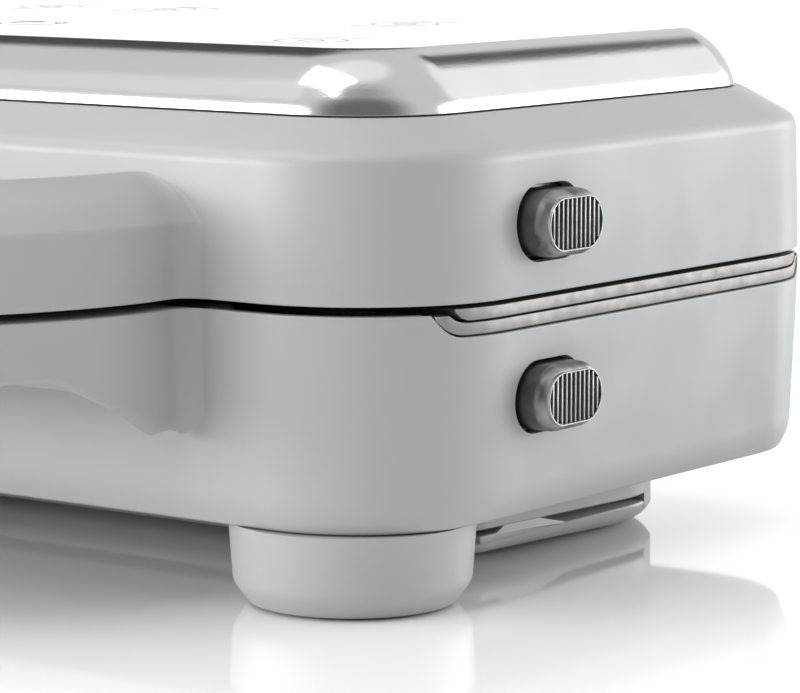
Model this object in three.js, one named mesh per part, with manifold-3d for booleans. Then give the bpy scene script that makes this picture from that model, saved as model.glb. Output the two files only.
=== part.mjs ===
// A donut maker: a low rectangular appliance whose lid is hinged along the rear edge.
// Millimetres. +X is the appliance's right (the side with the release buttons), +Y is the rear, +Z is up.
// The pieces are modelled about the casing's own centre, with the table top at Z = 0.
// The outer group then moves them so that the origin is the middle of the whole object's footprint.
import * as THREE from 'three';
import { mergeVertices } from 'three/addons/utils/BufferGeometryUtils.js';
import Module from 'manifold-3d';

const wasm = await Module();
wasm.setup();

// ---------------------------------------------------------------- driving dimensions

// Casing
const HALF_WIDTH = 120;
const HALF_DEPTH = 78;
const CORNER_RADIUS = 32;
const WALL = 2.6;
const CASING_BOTTOM = 15.6;
const LOWER_TOP = 54.5;
const UPPER_BOTTOM = 56.2;
const SHOULDER = 82.2;
const SEAT_INSET = 10.8;
const COVER_INSET = 12.3;
const COVER_SHEET = 0.9;
const COVER_SEAT = 88.2;
const TOP = 100;
const GAP = 0.3;

// Plates
const SPLIT = 53;
const RIM_THICKNESS = 2.4;
const RIM_BOTTOM = SPLIT - RIM_THICKNESS;
const WINDOW_SILL = 50.3;
const WINDOW_FLAT_END = 56.4;
const WINDOW_CURVE_END = 62.5;
const WINDOW_CURVE_LEAN = 2.2;
const CAVITY_OUTER = 27;
const CAVITY_POST = 8.5;
const CAVITY_DEPTH = 12;
const BOWL_SKIN = 2.2;
const COLUMN_PITCH = 68;
const ROW_PITCH = 60;
const LEDGE_BOTTOM = 45;
const LEDGE_TOP = 46.6;
const LEDGE_TIP = 106.3;
const LEDGE_ROOT = 113;

// Handle
const HANDLE_REACH = 53;
const HANDLE_ROOT = 77;
const ROOT_FILLET = 4.5;
const HANDLE_SHOULDER = 69.6;
const HANDLE_CREST = 78.2;
const HANDLE_BEVEL = 11;
const HANDLE_GRIP_BOTTOM = 43.8;
const GUSSET_BOTTOM = 32.3;
const GUSSET_REACH = 12;
const SCOOP_HALF_WIDTH = 66;
const SCOOP_CORNER = 6;

// Release buttons
const BUTTON_Y = -32.4;
const LOWER_BUTTON_Z = 37.6;
const UPPER_BUTTON_Z = 68.9;
const BUTTON_WIDTH = 19.4;
const BUTTON_HEIGHT = 12;
const BUTTON_STANDS_OUT = 5.5;
const POCKET_WIDTH = 21.4;
const POCKET_HEIGHT = 14;
const ROD_Z = LOWER_BUTTON_Z;
const ROD_RADIUS = 3;
const COLLAR_BACK = 114;
const COLLAR_THICKNESS = 2;
const CATCH_INNER = 101.2;
const CATCH_OUTER = 103.7;
const CATCH_TIP = 108.3;
const CATCH_BOTTOM = 47;
const CATCH_TOP = 48.8;
const GUIDE_BACK = 104;
const GUIDE_FRONT = 106;

// Hinge
const HINGE_Y = 86;
const HINGE_Z = (LOWER_TOP + UPPER_BOTTOM) / 2;
const KNUCKLE_RADIUS = 6.5;
const PIN_RADIUS = 2;
const HINGE_X = 63;
const HINGE_HALF_LENGTH = 13;
const EAR_LENGTH = 6;

// Supports
const FOOT_X = 91.6;
const FOOT_Y = -54.2;
const FOOT_RADIUS = 22.5;
const FOOT_LIFT = 0.4;
const PAD_RADIUS = 15;
const WRAP_HALF_WIDTH = 94;
const WRAP_FRONT = -25;
const WRAP_REAR = 62;
const WRAP_CLOSED_FROM = 40;
const WRAP_FRONT_RADIUS = 10;
const WRAP_REAR_RADIUS = 28;
const WRAP_LIP_TOP = 5.1;
const WRAP_FLANGE_BOTTOM = 9.5;
const CLIP_TOP = 7.3;
const CLIP_FRONT = -17;
const CLIP_RAMP_START = 0.5;
const CLIP_REAR = 12.8;
const REAR_PAD_X = 68;
const REAR_PAD_Y = 44;
const REAR_PAD_RADIUS = 9;

// Screws
const SCREW_X = 88;
const SCREW_Y = 67.5;
const SCREW_HEAD_RADIUS = 3;
const SCREW_SHANK_RADIUS = 1.4;
const SCREW_LENGTH = 12;
const LID_SCREW_Z = 59;

// Handle lock
const LOCK_FRONT = -HALF_DEPTH - HANDLE_REACH;
const LOCK_DEPTH = 6;
const LOCK_HALF_WIDTH = 15;
const LOCK_BOTTOM = 46.6;
const LOCK_LIP = 50.9;
const LOCK_TOP = 67.6;

// Heating
const ELEMENT_Y = 30;
const ELEMENT_Z = 33;
const ELEMENT_RADIUS = 3.25;
const ELEMENT_BEND_X = 56;
const ELEMENT_END_X = -111;
const TRAY_BOTTOM = 25.5;
const TRAY_TOP = 36;
const TRAY_SHEET = 0.8;
const FRAME_BOTTOM = 42;

// Cord inlet and signal lamps
const INLET_X = -40;
const INLET_Z = 33;
const INLET_RADIUS = 6.4;
const LENS_RADIUS = 6;
const LENS_Y = -17.5;
const LENS_BOTTOM = 97.2;
const lensPlaces = [-36, -18];

// Steps used for round shapes
const CORNER_STEPS = 7;
const INNER_STEPS = 4;
const CAVITY_STEPS = 18;
const SMALL_STEPS = 14;

const PLASTIC_GREY = { color: 0xc3c6c7, roughness: 0.5, metalness: 0 };
const BRUSHED_STEEL = { color: 0xc9c7c4, roughness: 0.28, metalness: 1 };
const BRIGHT_SCREW = { color: 0xb4b5b7, roughness: 0.35, metalness: 1 };
const SHEET_STEEL = { color: 0x9da0a3, roughness: 0.45, metalness: 1 };
const NON_STICK = { color: 0x39393b, roughness: 0.42, metalness: 0.2 };
const DARK_METAL = { color: 0x4c4d50, roughness: 0.4, metalness: 0.8 };
const BLACK_PLASTIC = { color: 0x1c1c1e, roughness: 0.55, metalness: 0 };
const BLACK_RUBBER = { color: 0x161617, roughness: 0.85, metalness: 0 };
const CERAMIC_WHITE = { color: 0xe6e2d8, roughness: 0.6, metalness: 0 };
const RED_LENS = { color: 0xa31712, roughness: 0.12, metalness: 0 };
const GREEN_LENS = { color: 0x1f8a3a, roughness: 0.12, metalness: 0 };

// ---------------------------------------------------------------- solids

// A manifold solid from a closed geometry, with its faces turned outwards.
function solid(geometry) {
  const bare = geometry.clone();
  bare.deleteAttribute('normal');
  bare.deleteAttribute('uv');
  const merged = mergeVertices(bare, 1e-4);
  const corners = merged.index.array;
  const kept = [];
  for (let i = 0; i < corners.length; i += 3) {
    const [a, b, c] = [corners[i], corners[i + 1], corners[i + 2]];
    if (a !== b && b !== c && c !== a) kept.push(a, b, c);
  }
  const vertProperties = merged.attributes.position.array;
  const skin = (triVerts) => new wasm.Manifold(new wasm.Mesh({ numProp: 3, vertProperties, triVerts }));
  const made = skin(new Uint32Array(kept));
  if (made.volume() > 0) return made;
  return skin(new Uint32Array(kept.reverse()));
}

// The three.js geometry of a manifold solid.
function geometryOf(manifold) {
  const mesh = manifold.getMesh();
  const geometry = new THREE.BufferGeometry();
  geometry.setAttribute('position', new THREE.BufferAttribute(mesh.vertProperties, mesh.numProp));
  geometry.setIndex(new THREE.BufferAttribute(mesh.triVerts, 1));
  geometry.computeVertexNormals();
  return geometry;
}

function joined(...solids) {
  return solids.reduce((whole, piece) => whole.add(piece));
}

function without(body, ...cutters) {
  return cutters.reduce((left, cutter) => left.subtract(cutter), body);
}

// A shape pushed along an axis.
// Along X the shape's plane is (Y, Z), along Y it is (X, Z), and along Z it is (X, Y).
function extruded(shape, axis, from, to, curveSegments = INNER_STEPS) {
  const settings = { depth: to - from, bevelEnabled: false, curveSegments };
  const geometry = new THREE.ExtrudeGeometry(shape, settings);
  if (axis === 'x') {
    const turn = new THREE.Matrix4().makeBasis(
      new THREE.Vector3(0, 1, 0), new THREE.Vector3(0, 0, 1), new THREE.Vector3(1, 0, 0));
    geometry.applyMatrix4(turn).translate(from, 0, 0);
  }
  if (axis === 'y') geometry.rotateX(Math.PI / 2).translate(0, to, 0);
  if (axis === 'z') geometry.translate(0, 0, from);
  return solid(geometry);
}

function box(x0, x1, y0, y1, z0, z1) {
  const geometry = new THREE.BoxGeometry(x1 - x0, y1 - y0, z1 - z0);
  return solid(geometry.translate((x0 + x1) / 2, (y0 + y1) / 2, (z0 + z1) / 2));
}

// A solid of revolution about a vertical axis through (x, y), from [radius, height] pairs.
function turned(profile, x, y, steps = SMALL_STEPS) {
  const points = profile.map(([radius, height]) => new THREE.Vector2(radius, height));
  return solid(new THREE.LatheGeometry(points, steps).rotateX(Math.PI / 2).translate(x, y, 0));
}

function upright(radius, x, y, z0, z1, steps = SMALL_STEPS) {
  return turned([[0, z0], [radius, z0], [radius, z1], [0, z1]], x, y, steps);
}

// A cylinder lying along X.
function lying(radius, x0, x1, y, z, steps = SMALL_STEPS) {
  const geometry = new THREE.CylinderGeometry(radius, radius, x1 - x0, steps);
  return solid(geometry.rotateZ(Math.PI / 2).translate((x0 + x1) / 2, y, z));
}

// A rectangle in plan with a corner radius at the front and another at the rear.
function plan(halfWidth, front, rear, frontRadius, rearRadius = frontRadius) {
  const shape = new THREE.Shape();
  shape.absarc(halfWidth - frontRadius, front + frontRadius, frontRadius, -Math.PI / 2, 0);
  shape.absarc(halfWidth - rearRadius, rear - rearRadius, rearRadius, 0, Math.PI / 2);
  shape.absarc(rearRadius - halfWidth, rear - rearRadius, rearRadius, Math.PI / 2, Math.PI);
  shape.absarc(frontRadius - halfWidth, front + frontRadius, frontRadius, Math.PI, 1.5 * Math.PI);
  return shape;
}

function casingPlan(inset, radius = CORNER_RADIUS - inset) {
  return plan(HALF_WIDTH - inset, inset - HALF_DEPTH, HALF_DEPTH - inset, radius);
}

// A closed skin over rings of equal point counts, lowest ring first.
function lofted(rings) {
  const count = rings[0].length;
  const positions = rings.flat().flatMap((p) => [p.x, p.y, p.z]);
  const triangles = [];
  for (let ring = 0; ring + 1 < rings.length; ring += 1) {
    for (let i = 0; i < count; i += 1) {
      const a = ring * count + i;
      const b = ring * count + ((i + 1) % count);
      triangles.push(a, b, a + count, b, b + count, a + count);
    }
  }
  for (const [ring, upwards] of [[0, false], [rings.length - 1, true]]) {
    const centre = rings[ring].reduce((sum, p) => sum.add(p), new THREE.Vector3()).divideScalar(count);
    positions.push(centre.x, centre.y, centre.z);
    const middle = positions.length / 3 - 1;
    for (let i = 0; i < count; i += 1) {
      const a = ring * count + i;
      const b = ring * count + ((i + 1) % count);
      triangles.push(...(upwards ? [a, b, middle] : [b, a, middle]));
    }
  }
  const geometry = new THREE.BufferGeometry();
  geometry.setAttribute('position', new THREE.Float32BufferAttribute(positions, 3));
  geometry.setIndex(triangles);
  return solid(geometry);
}

// A stack of rounded rectangles: each level says how far its sides and its ends stand in from the walls.
function stack(levels) {
  return lofted(levels.map(({ side, end = side, z, radius }) => {
    const outline = plan(HALF_WIDTH - side, end - HALF_DEPTH, HALF_DEPTH - end, radius);
    return outline.getPoints(CORNER_STEPS).map((p) => new THREE.Vector3(p.x, p.y, z));
  }));
}

// An oblong with round ends, lying across the right-hand wall: width along Y, height along Z.
function oblong(width, height, y, z, x0, x1) {
  const radius = height / 2;
  const shape = new THREE.Shape();
  shape.absarc(y + width / 2 - radius, z, radius, -Math.PI / 2, Math.PI / 2);
  shape.absarc(y - width / 2 + radius, z, radius, Math.PI / 2, 1.5 * Math.PI);
  return extruded(shape, 'x', x0, x1);
}

// ---------------------------------------------------------------- pieces and their place

const casingFrame = new THREE.Group();

function addPiece(name, body, finish) {
  const mesh = new THREE.Mesh(geometryOf(body), new THREE.MeshStandardMaterial(finish));
  mesh.name = name;
  casingFrame.add(mesh);
  return mesh;
}

// The same piece turned over about the plates' split line, for the lid.
function addTurnedOver(name, body, finish) {
  const mesh = addPiece(name, body, finish);
  mesh.scale.set(1, 1, -1);
  mesh.position.set(0, 0, 2 * SPLIT);
  return mesh;
}

const cornersOf = (x, y) => [[-x, -y], [x, -y], [-x, y], [x, y]];
const screwPlaces = cornersOf(SCREW_X, SCREW_Y);

// ---------------------------------------------------------------- outlines

// The handle seen from above, from inside the front wall out to the grip.
// share 0 is the full outline, and share 1 is the crest, which stands in by the bevel.
function handleOutline(share = 0) {
  const inside = 8;
  const narrow = 1 - (share * HANDLE_BEVEL) / HANDLE_ROOT;
  const shallow = 1 - (share * HANDLE_BEVEL) / (HANDLE_REACH + inside);
  const across = (x) => x * narrow;
  const along = (reach) => inside - HALF_DEPTH - (reach + inside) * shallow;
  const shape = new THREE.Shape();
  shape.moveTo(across(HANDLE_ROOT), along(-inside));
  shape.lineTo(across(HANDLE_ROOT), along(0));
  shape.quadraticCurveTo(across(73.2), along(0.2), across(72.4), along(ROOT_FILLET));
  shape.bezierCurveTo(across(73.2), along(15), across(69.5), along(27), across(62.5), along(39.5));
  shape.bezierCurveTo(across(56.3), along(50.5), across(44), along(51.6), 0, along(HANDLE_REACH));
  shape.bezierCurveTo(across(-44), along(51.6), across(-56.3), along(50.5), across(-62.5), along(39.5));
  shape.bezierCurveTo(across(-69.5), along(27), across(-73.2), along(15), across(-72.4), along(ROOT_FILLET));
  shape.quadraticCurveTo(across(-73.2), along(0.2), across(-HANDLE_ROOT), along(0));
  shape.lineTo(across(-HANDLE_ROOT), along(-inside));
  return shape;
}

// The dip in the lower casing's edge that the plate rims fill, seen from the side.
function windowProfile() {
  const shape = new THREE.Shape();
  const above = LOWER_TOP + 10;
  shape.moveTo(WINDOW_FLAT_END, WINDOW_SILL);
  shape.quadraticCurveTo(WINDOW_CURVE_END - WINDOW_CURVE_LEAN, WINDOW_SILL, WINDOW_CURVE_END, LOWER_TOP);
  shape.lineTo(WINDOW_CURVE_END, above);
  shape.lineTo(-WINDOW_CURVE_END, above);
  shape.lineTo(-WINDOW_CURVE_END, LOWER_TOP);
  shape.quadraticCurveTo(WINDOW_CURVE_LEAN - WINDOW_CURVE_END, WINDOW_SILL, -WINDOW_FLAT_END, WINDOW_SILL);
  return shape;
}

// The lower rim turns up at the front and the rear around the ends of the upper rim.
function lowerRimProfile() {
  const lip = LOWER_TOP - 0.2;
  const face = SPLIT - GAP / 2;
  const outer = WINDOW_CURVE_END - GAP;
  const flat = WINDOW_FLAT_END - GAP;
  const inner = outer - 3;
  const level = flat - 0.6;
  const shape = new THREE.Shape();
  shape.moveTo(flat, RIM_BOTTOM);
  shape.quadraticCurveTo(outer - WINDOW_CURVE_LEAN, RIM_BOTTOM, outer, lip);
  shape.lineTo(inner, lip);
  shape.quadraticCurveTo(inner - 1.2, face, level, face);
  shape.lineTo(-level, face);
  shape.quadraticCurveTo(1.2 - inner, face, -inner, lip);
  shape.lineTo(-outer, lip);
  shape.quadraticCurveTo(WINDOW_CURVE_LEAN - outer, RIM_BOTTOM, -flat, RIM_BOTTOM);
  return shape;
}

// The upper rim, drawn face up like the lower one: it is turned over with its plate.
function upperRimProfile() {
  const face = SPLIT - GAP / 2;
  const end = WINDOW_CURVE_END - 4.1;
  const flat = WINDOW_FLAT_END - 1.4;
  const shape = new THREE.Shape();
  shape.moveTo(flat, face);
  shape.lineTo(-flat, face);
  shape.quadraticCurveTo(1 - end, face, -end, RIM_BOTTOM);
  shape.lineTo(end, RIM_BOTTOM);
  shape.quadraticCurveTo(end - 1, face, flat, face);
  return shape;
}

// ---------------------------------------------------------------- casings

const knuckle = (x0, x1) => lying(KNUCKLE_RADIUS, x0, x1, HINGE_Y, HINGE_Z, 20);

// A knuckle and the web that carries it on a rear wall. side is 1 for the lid and -1 for the base.
function hingeEar(x0, x1, side) {
  const root = side > 0 ? UPPER_BOTTOM : LOWER_TOP;
  const shape = new THREE.Shape();
  shape.moveTo(HALF_DEPTH - 1.5, root);
  shape.lineTo(HINGE_Y, root);
  shape.lineTo(HINGE_Y, HINGE_Z + side * KNUCKLE_RADIUS);
  shape.lineTo(HALF_DEPTH - 1.5, root + side * 15);
  return joined(knuckle(x0, x1), extruded(shape, 'x', x0, x1));
}

const pinHole = (x) => lying(PIN_RADIUS + GAP, x - 20, x + 20, HINGE_Y, HINGE_Z);

function baseEars() {
  const ends = [HINGE_X - HINGE_HALF_LENGTH, HINGE_X + HINGE_HALF_LENGTH - EAR_LENGTH];
  const ears = [];
  for (const start of ends) {
    ears.push(hingeEar(start, start + EAR_LENGTH, -1));
    ears.push(hingeEar(-start - EAR_LENGTH, -start, -1));
  }
  return joined(...ears);
}

function lidEars() {
  const half = HINGE_HALF_LENGTH - EAR_LENGTH - GAP;
  return joined(
    hingeEar(HINGE_X - half, HINGE_X + half, 1),
    hingeEar(-HINGE_X - half, half - HINGE_X, 1),
  );
}

// Finger room under the grip: the underside is cut back, and the middle is cut through to the wall.
function lowerHandle() {
  const block = extruded(handleOutline(), 'z', GUSSET_BOTTOM, LOWER_TOP);
  const under = new THREE.Shape();
  const face = -HALF_DEPTH - GUSSET_REACH;
  under.moveTo(-HALF_DEPTH - 2 * HANDLE_REACH, 0);
  under.lineTo(face, 0);
  under.lineTo(face, GUSSET_BOTTOM + 2);
  under.quadraticCurveTo(face - 2, HANDLE_GRIP_BOTTOM - 1.8, face - 16, HANDLE_GRIP_BOTTOM);
  under.lineTo(-HALF_DEPTH - 2 * HANDLE_REACH, HANDLE_GRIP_BOTTOM);
  const middle = plan(SCOOP_HALF_WIDTH, GUSSET_BOTTOM - 1, HANDLE_GRIP_BOTTOM, SCOOP_CORNER);
  return without(
    block,
    extruded(under, 'x', -HALF_WIDTH, HALF_WIDTH),
    extruded(middle, 'y', -HALF_DEPTH - 2 * HANDLE_REACH, -HALF_DEPTH + 0.8),
  );
}

// The upper half bulges up to a crest, with a shallow dish behind it.
function upperHandle() {
  const levels = [[0, UPPER_BOTTOM], [0, HANDLE_SHOULDER], [0.28, 74.3], [0.62, 77.3], [1, HANDLE_CREST]];
  const rings = levels.map(([share, z]) => handleOutline(share).getPoints(6).map((p) => (
    new THREE.Vector3(p.x, p.y, z))));
  const dish = new THREE.SphereGeometry(1, 20, 10).scale(52, 24, 10);
  return without(lofted(rings), solid(dish.translate(0, -HALF_DEPTH - 21, HANDLE_CREST + 5.8)));
}

// Screw holes through the base floor, with room for each head.
function baseScrewHoles() {
  return joined(...screwPlaces.flatMap(([x, y]) => [
    upright(SCREW_HEAD_RADIUS + 0.4, x, y, CASING_BOTTOM - 1, CASING_BOTTOM + 2),
    upright(SCREW_SHANK_RADIUS + 0.4, x, y, CASING_BOTTOM, CASING_BOTTOM + 6),
  ]));
}

function lowerCasing() {
  const outside = stack([
    { side: 4.6, end: 2.8, z: CASING_BOTTOM, radius: 26 },
    { side: 1.3, z: CASING_BOTTOM + 4.2, radius: 30.7 },
    { side: 0, z: LOWER_TOP, radius: CORNER_RADIUS },
  ]);
  const inside = stack([
    { side: 4.6 + WALL, end: 2.8 + WALL, z: CASING_BOTTOM + WALL, radius: 24 },
    { side: 1.3 + WALL, z: CASING_BOTTOM + 4.2 + WALL, radius: 28.1 },
    { side: WALL, z: LOWER_TOP + 5, radius: CORNER_RADIUS - WALL },
  ]);
  const bosses = screwPlaces.map(([x, y]) => upright(5, x, y, CASING_BOTTOM + 1, CASING_BOTTOM + 4.8));
  const shell = without(joined(outside, lowerHandle()), inside);
  const inlet = new THREE.CylinderGeometry(INLET_RADIUS, INLET_RADIUS, 20, SMALL_STEPS);
  return without(
    joined(shell, baseEars(), ...bosses),
    extruded(windowProfile(), 'x', -HALF_WIDTH - 5, HALF_WIDTH + 5),
    oblong(POCKET_WIDTH, POCKET_HEIGHT - 0.6, BUTTON_Y, LOWER_BUTTON_Z, HALF_WIDTH - 5, HALF_WIDTH + 5),
    solid(inlet.translate(INLET_X, HALF_DEPTH, INLET_Z)),
    baseScrewHoles(),
    pinHole(HINGE_X),
    pinHole(-HINGE_X),
    lockSocket(),
  );
}

function upperCasing() {
  const outside = stack([
    { side: 0, z: UPPER_BOTTOM, radius: CORNER_RADIUS },
    { side: 0.7, z: SHOULDER, radius: 31.3 },
    { side: SEAT_INSET, z: COVER_SEAT, radius: 23 },
  ]);
  const inside = stack([
    { side: WALL, z: UPPER_BOTTOM - 5, radius: CORNER_RADIUS - WALL },
    { side: 0.7 + WALL, z: SHOULDER - 0.8, radius: 28.7 },
    { side: SEAT_INSET + WALL, z: COVER_SEAT - WALL, radius: 20.5 },
  ]);
  const posts = screwPlaces.map(([x, y]) => upright(3.5, x, y, 64.3, 83.5));
  const pilots = screwPlaces.map(([x, y]) => upright(SCREW_SHANK_RADIUS + 0.3, x, y, 64, 74));
  const shell = without(joined(outside, upperHandle()), inside);
  return without(
    joined(shell, lidEars(), ...posts),
    ...pilots,
    extruded(plan(92, -50, 50, 10), 'z', COVER_SEAT - 5, COVER_SEAT + 5),
    oblong(POCKET_WIDTH, POCKET_HEIGHT, BUTTON_Y, UPPER_BUTTON_Z, HALF_WIDTH - 5, HALF_WIDTH + 5),
    pinHole(HINGE_X),
    pinHole(-HINGE_X),
    lockRecess(),
  );
}

// The steel cover: a pressed sheet whose edge stands on the upper casing.
// Each level of its bend is [how far it stands in from the walls, height].
function topCover() {
  const bend = [[COVER_INSET, COVER_SEAT + GAP], [12.9, 91.2], [15.2, 95.2], [18.4, 98.4], [21.5, TOP]];
  const radiusAt = (inset) => CORNER_RADIUS + 2 - inset;
  const outside = stack(bend.map(([side, z]) => ({ side, z, radius: radiusAt(side) })));
  const inside = stack(bend.map(([side, z], level) => ({
    side: side + COVER_SHEET,
    z: level ? z - COVER_SHEET : z - 2,
    radius: radiusAt(side + COVER_SHEET),
  })));
  const holes = lensPlaces.map((x) => upright(LENS_RADIUS + GAP, x, LENS_Y, TOP - 5, TOP + 5, 20));
  return without(outside, inside, ...holes);
}

// ---------------------------------------------------------------- plates and heating

const cavityPlaces = [];
for (const column of [-1, 0, 1]) {
  for (const row of [-0.5, 0.5]) cavityPlaces.push([column * COLUMN_PITCH, row * ROW_PITCH]);
}

// The under side of one ring cavity.
function bowl(x, y) {
  const bottom = SPLIT - CAVITY_DEPTH - BOWL_SKIN;
  const outer = CAVITY_OUTER + BOWL_SKIN;
  const top = RIM_BOTTOM + 0.5;
  const profile = [[0, bottom], [outer - 7, bottom], [outer - 1.7, bottom + 4.5], [outer, top], [0, top]];
  return turned(profile, x, y, CAVITY_STEPS);
}

// The ring-shaped hollow itself: a rounded trough around a centre post.
function ringHollow(x, y) {
  const floor = SPLIT - CAVITY_DEPTH;
  const middle = (CAVITY_OUTER + CAVITY_POST) / 2;
  const profile = [
    [CAVITY_POST, SPLIT + 1],
    [CAVITY_POST + 0.8, floor + 4.2],
    [CAVITY_POST + 4.4, floor + 0.8],
    [middle, floor],
    [CAVITY_OUTER - 4.4, floor + 0.8],
    [CAVITY_OUTER - 0.8, floor + 4.2],
    [CAVITY_OUTER, SPLIT + 1],
    [CAVITY_POST, SPLIT + 1],
  ];
  return turned(profile, x, y, CAVITY_STEPS);
}

// Under the rim each plate has a ledge at either side.
// The release catch holds the right one, and the fixed hook the left one.
function ledges() {
  const [front, rear] = [BUTTON_Y - 5, BUTTON_Y + 5];
  const web = LEDGE_ROOT - 2;
  return joined(
    box(web, LEDGE_ROOT, front, rear, LEDGE_BOTTOM, RIM_BOTTOM + 0.5),
    box(LEDGE_TIP, LEDGE_ROOT, front, rear, LEDGE_BOTTOM, LEDGE_TOP),
    box(-LEDGE_ROOT, -web, -9, 9, LEDGE_BOTTOM, RIM_BOTTOM + 0.5),
    box(-LEDGE_ROOT, -LEDGE_TIP, -9, 9, LEDGE_BOTTOM, LEDGE_TOP),
  );
}

function plateBody(rimSlab) {
  const bowls = cavityPlaces.map(([x, y]) => bowl(x, y));
  const hollows = cavityPlaces.map(([x, y]) => ringHollow(x, y));
  return without(joined(rimSlab, ...bowls, ledges()), ...hollows);
}

function lowerPlate() {
  const across = extruded(lowerRimProfile(), 'x', -HALF_WIDTH, HALF_WIDTH);
  return plateBody(across.intersect(extruded(casingPlan(0.4), 'z', 40, 60, CORNER_STEPS)));
}

// Modelled face up like the lower plate: it is turned over into the lid.
function upperPlateFaceUp() {
  const across = extruded(upperRimProfile(), 'x', -HALF_WIDTH, HALF_WIDTH);
  return plateBody(across.intersect(extruded(casingPlan(0.4), 'z', 40, 60, CORNER_STEPS)));
}

// The black frame between casing and plate. It stays clear of the plate's ledges and catches.
function frameRing(z0, z1) {
  return without(
    extruded(casingPlan(WALL + 1), 'z', z0, z1),
    extruded(plan(110, -61, 61, 12), 'z', z0 - 1, z1 + 1),
  );
}

const catchNotches = [
  box(98, 118, BUTTON_Y - 13.5, BUTTON_Y + 13.5, 41, 44.8),
  box(98, 114, BUTTON_Y - 13.5, BUTTON_Y + 13.5, 44, 54),
  box(-114, -98, -13.5, 13.5, 41, 54),
];

function lowerInnerFrame() {
  const postBottom = CASING_BOTTOM + 5.1;
  const posts = screwPlaces.map(([x, y]) => upright(3.5, x, y, postBottom, FRAME_BOTTOM + 1));
  const pilots = screwPlaces.map(([x, y]) => upright(SCREW_SHANK_RADIUS + 0.3, x, y, postBottom - 0.1, 31));
  return without(
    joined(frameRing(FRAME_BOTTOM, SPLIT - 0.3), ...posts),
    ...pilots,
    ...catchNotches,
    extruded(windowProfile(), 'x', -HALF_WIDTH, HALF_WIDTH),
  );
}

// Face up like the lower frame, with screw holes in place of posts.
function upperInnerFrameFaceUp() {
  const top = 2 * SPLIT - (UPPER_BOTTOM - 0.4);
  const holes = screwPlaces.flatMap(([x, y]) => [
    upright(SCREW_SHANK_RADIUS + 0.4, x, y, FRAME_BOTTOM - 1, top + 1),
    upright(SCREW_HEAD_RADIUS + 0.5, x, y, top - 5.2, top + 1),
  ]);
  return without(frameRing(FRAME_BOTTOM, top), ...holes, ...catchNotches);
}

// A reflector pan, slotted at its left end for the legs of the heater.
function heatTray() {
  const legSlots = [-ELEMENT_Y, ELEMENT_Y].map((y) => (
    box(-96, -90, y - ELEMENT_RADIUS - 1, y + ELEMENT_RADIUS + 1, TRAY_BOTTOM + 3, TRAY_TOP + 4)));
  const outline = (inset) => plan(94 - inset, inset - 57, 57 - inset, 14 - inset);
  return without(
    extruded(outline(0), 'z', TRAY_BOTTOM, TRAY_TOP),
    extruded(outline(TRAY_SHEET), 'z', TRAY_BOTTOM + TRAY_SHEET, TRAY_TOP + 2),
    ...legSlots,
  );
}

// A tubular heater bent into a hairpin under the cavities.
function heatingElement() {
  const bend = new THREE.CatmullRomCurve3([-90, -60, -30, 0, 30, 60, 90].map((degrees) => {
    const angle = THREE.MathUtils.degToRad(degrees);
    const x = ELEMENT_BEND_X + ELEMENT_Y * Math.cos(angle);
    return new THREE.Vector3(x, ELEMENT_Y * Math.sin(angle), ELEMENT_Z);
  }));
  const section = new THREE.Shape().absarc(0, 0, ELEMENT_RADIUS, 0, 2 * Math.PI);
  const bent = new THREE.ExtrudeGeometry(section, { extrudePath: bend, steps: 10, curveSegments: 5 });
  const leg = (y) => lying(ELEMENT_RADIUS, ELEMENT_END_X, ELEMENT_BEND_X + 0.5, y, ELEMENT_Z, 10);
  return joined(solid(bent), leg(-ELEMENT_Y), leg(ELEMENT_Y));
}

function thermostat() {
  return joined(upright(7.5, -38, 0, 19.6, 25.2), box(-50, -26, -2.5, 2.5, 20.2, 21.4));
}

// The fixed hook that holds the plate's left ledge.
function plateHook() {
  return joined(
    box(-CATCH_OUTER, -CATCH_INNER, -8, 8, 22, CATCH_TOP),
    box(-CATCH_TIP, -CATCH_INNER, -8, 8, CATCH_BOTTOM, CATCH_TOP),
    box(-106, -97, -8, 8, 22, 24),
  );
}

// ---------------------------------------------------------------- release buttons

// A cap outside the wall, a collar behind it, a rod, and a catch over the plate's right-hand ledge.
function releaseButton(capZ) {
  const collarFront = COLLAR_BACK + COLLAR_THICKNESS;
  const [front, rear] = [BUTTON_Y - 4, BUTTON_Y + 4];
  return joined(
    oblong(BUTTON_WIDTH, BUTTON_HEIGHT, BUTTON_Y, capZ, collarFront - 0.3, HALF_WIDTH + BUTTON_STANDS_OUT),
    box(COLLAR_BACK, collarFront, BUTTON_Y - 12.5, BUTTON_Y + 12.5, capZ - 6.6, capZ + 6.6),
    lying(ROD_RADIUS, CATCH_INNER + 0.8, collarFront - 0.3, BUTTON_Y, ROD_Z),
    box(CATCH_INNER, CATCH_OUTER, front, rear, ROD_Z - ROD_RADIUS, CATCH_TOP),
    box(CATCH_INNER, CATCH_TIP, front, rear, CATCH_BOTTOM, CATCH_TOP),
  );
}

// The slotted bracket that carries the rod and backs the spring.
function buttonGuide() {
  const slot = ROD_RADIUS + 0.5;
  return without(
    box(GUIDE_BACK, GUIDE_FRONT, BUTTON_Y - 12.8, BUTTON_Y + 12.8, 30, FRAME_BOTTOM - 0.3),
    box(GUIDE_BACK - 1, GUIDE_FRONT + 1, BUTTON_Y - slot, BUTTON_Y + slot, ROD_Z - slot, FRAME_BOTTOM + 1),
  );
}

// A sleeve around the rod, between the guide and the collar.
function buttonSpring() {
  const [inner, outer] = [ROD_RADIUS + 0.4, ROD_RADIUS + 1.8];
  const [back, front] = [GUIDE_FRONT + 0.4, COLLAR_BACK - 0.3];
  const ring = [[inner, back], [outer, back], [outer, front], [inner, front], [inner, back]];
  const points = ring.map(([radius, x]) => new THREE.Vector2(radius, x));
  return solid(new THREE.LatheGeometry(points, 12).rotateZ(-Math.PI / 2).translate(0, BUTTON_Y, ROD_Z));
}

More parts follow.
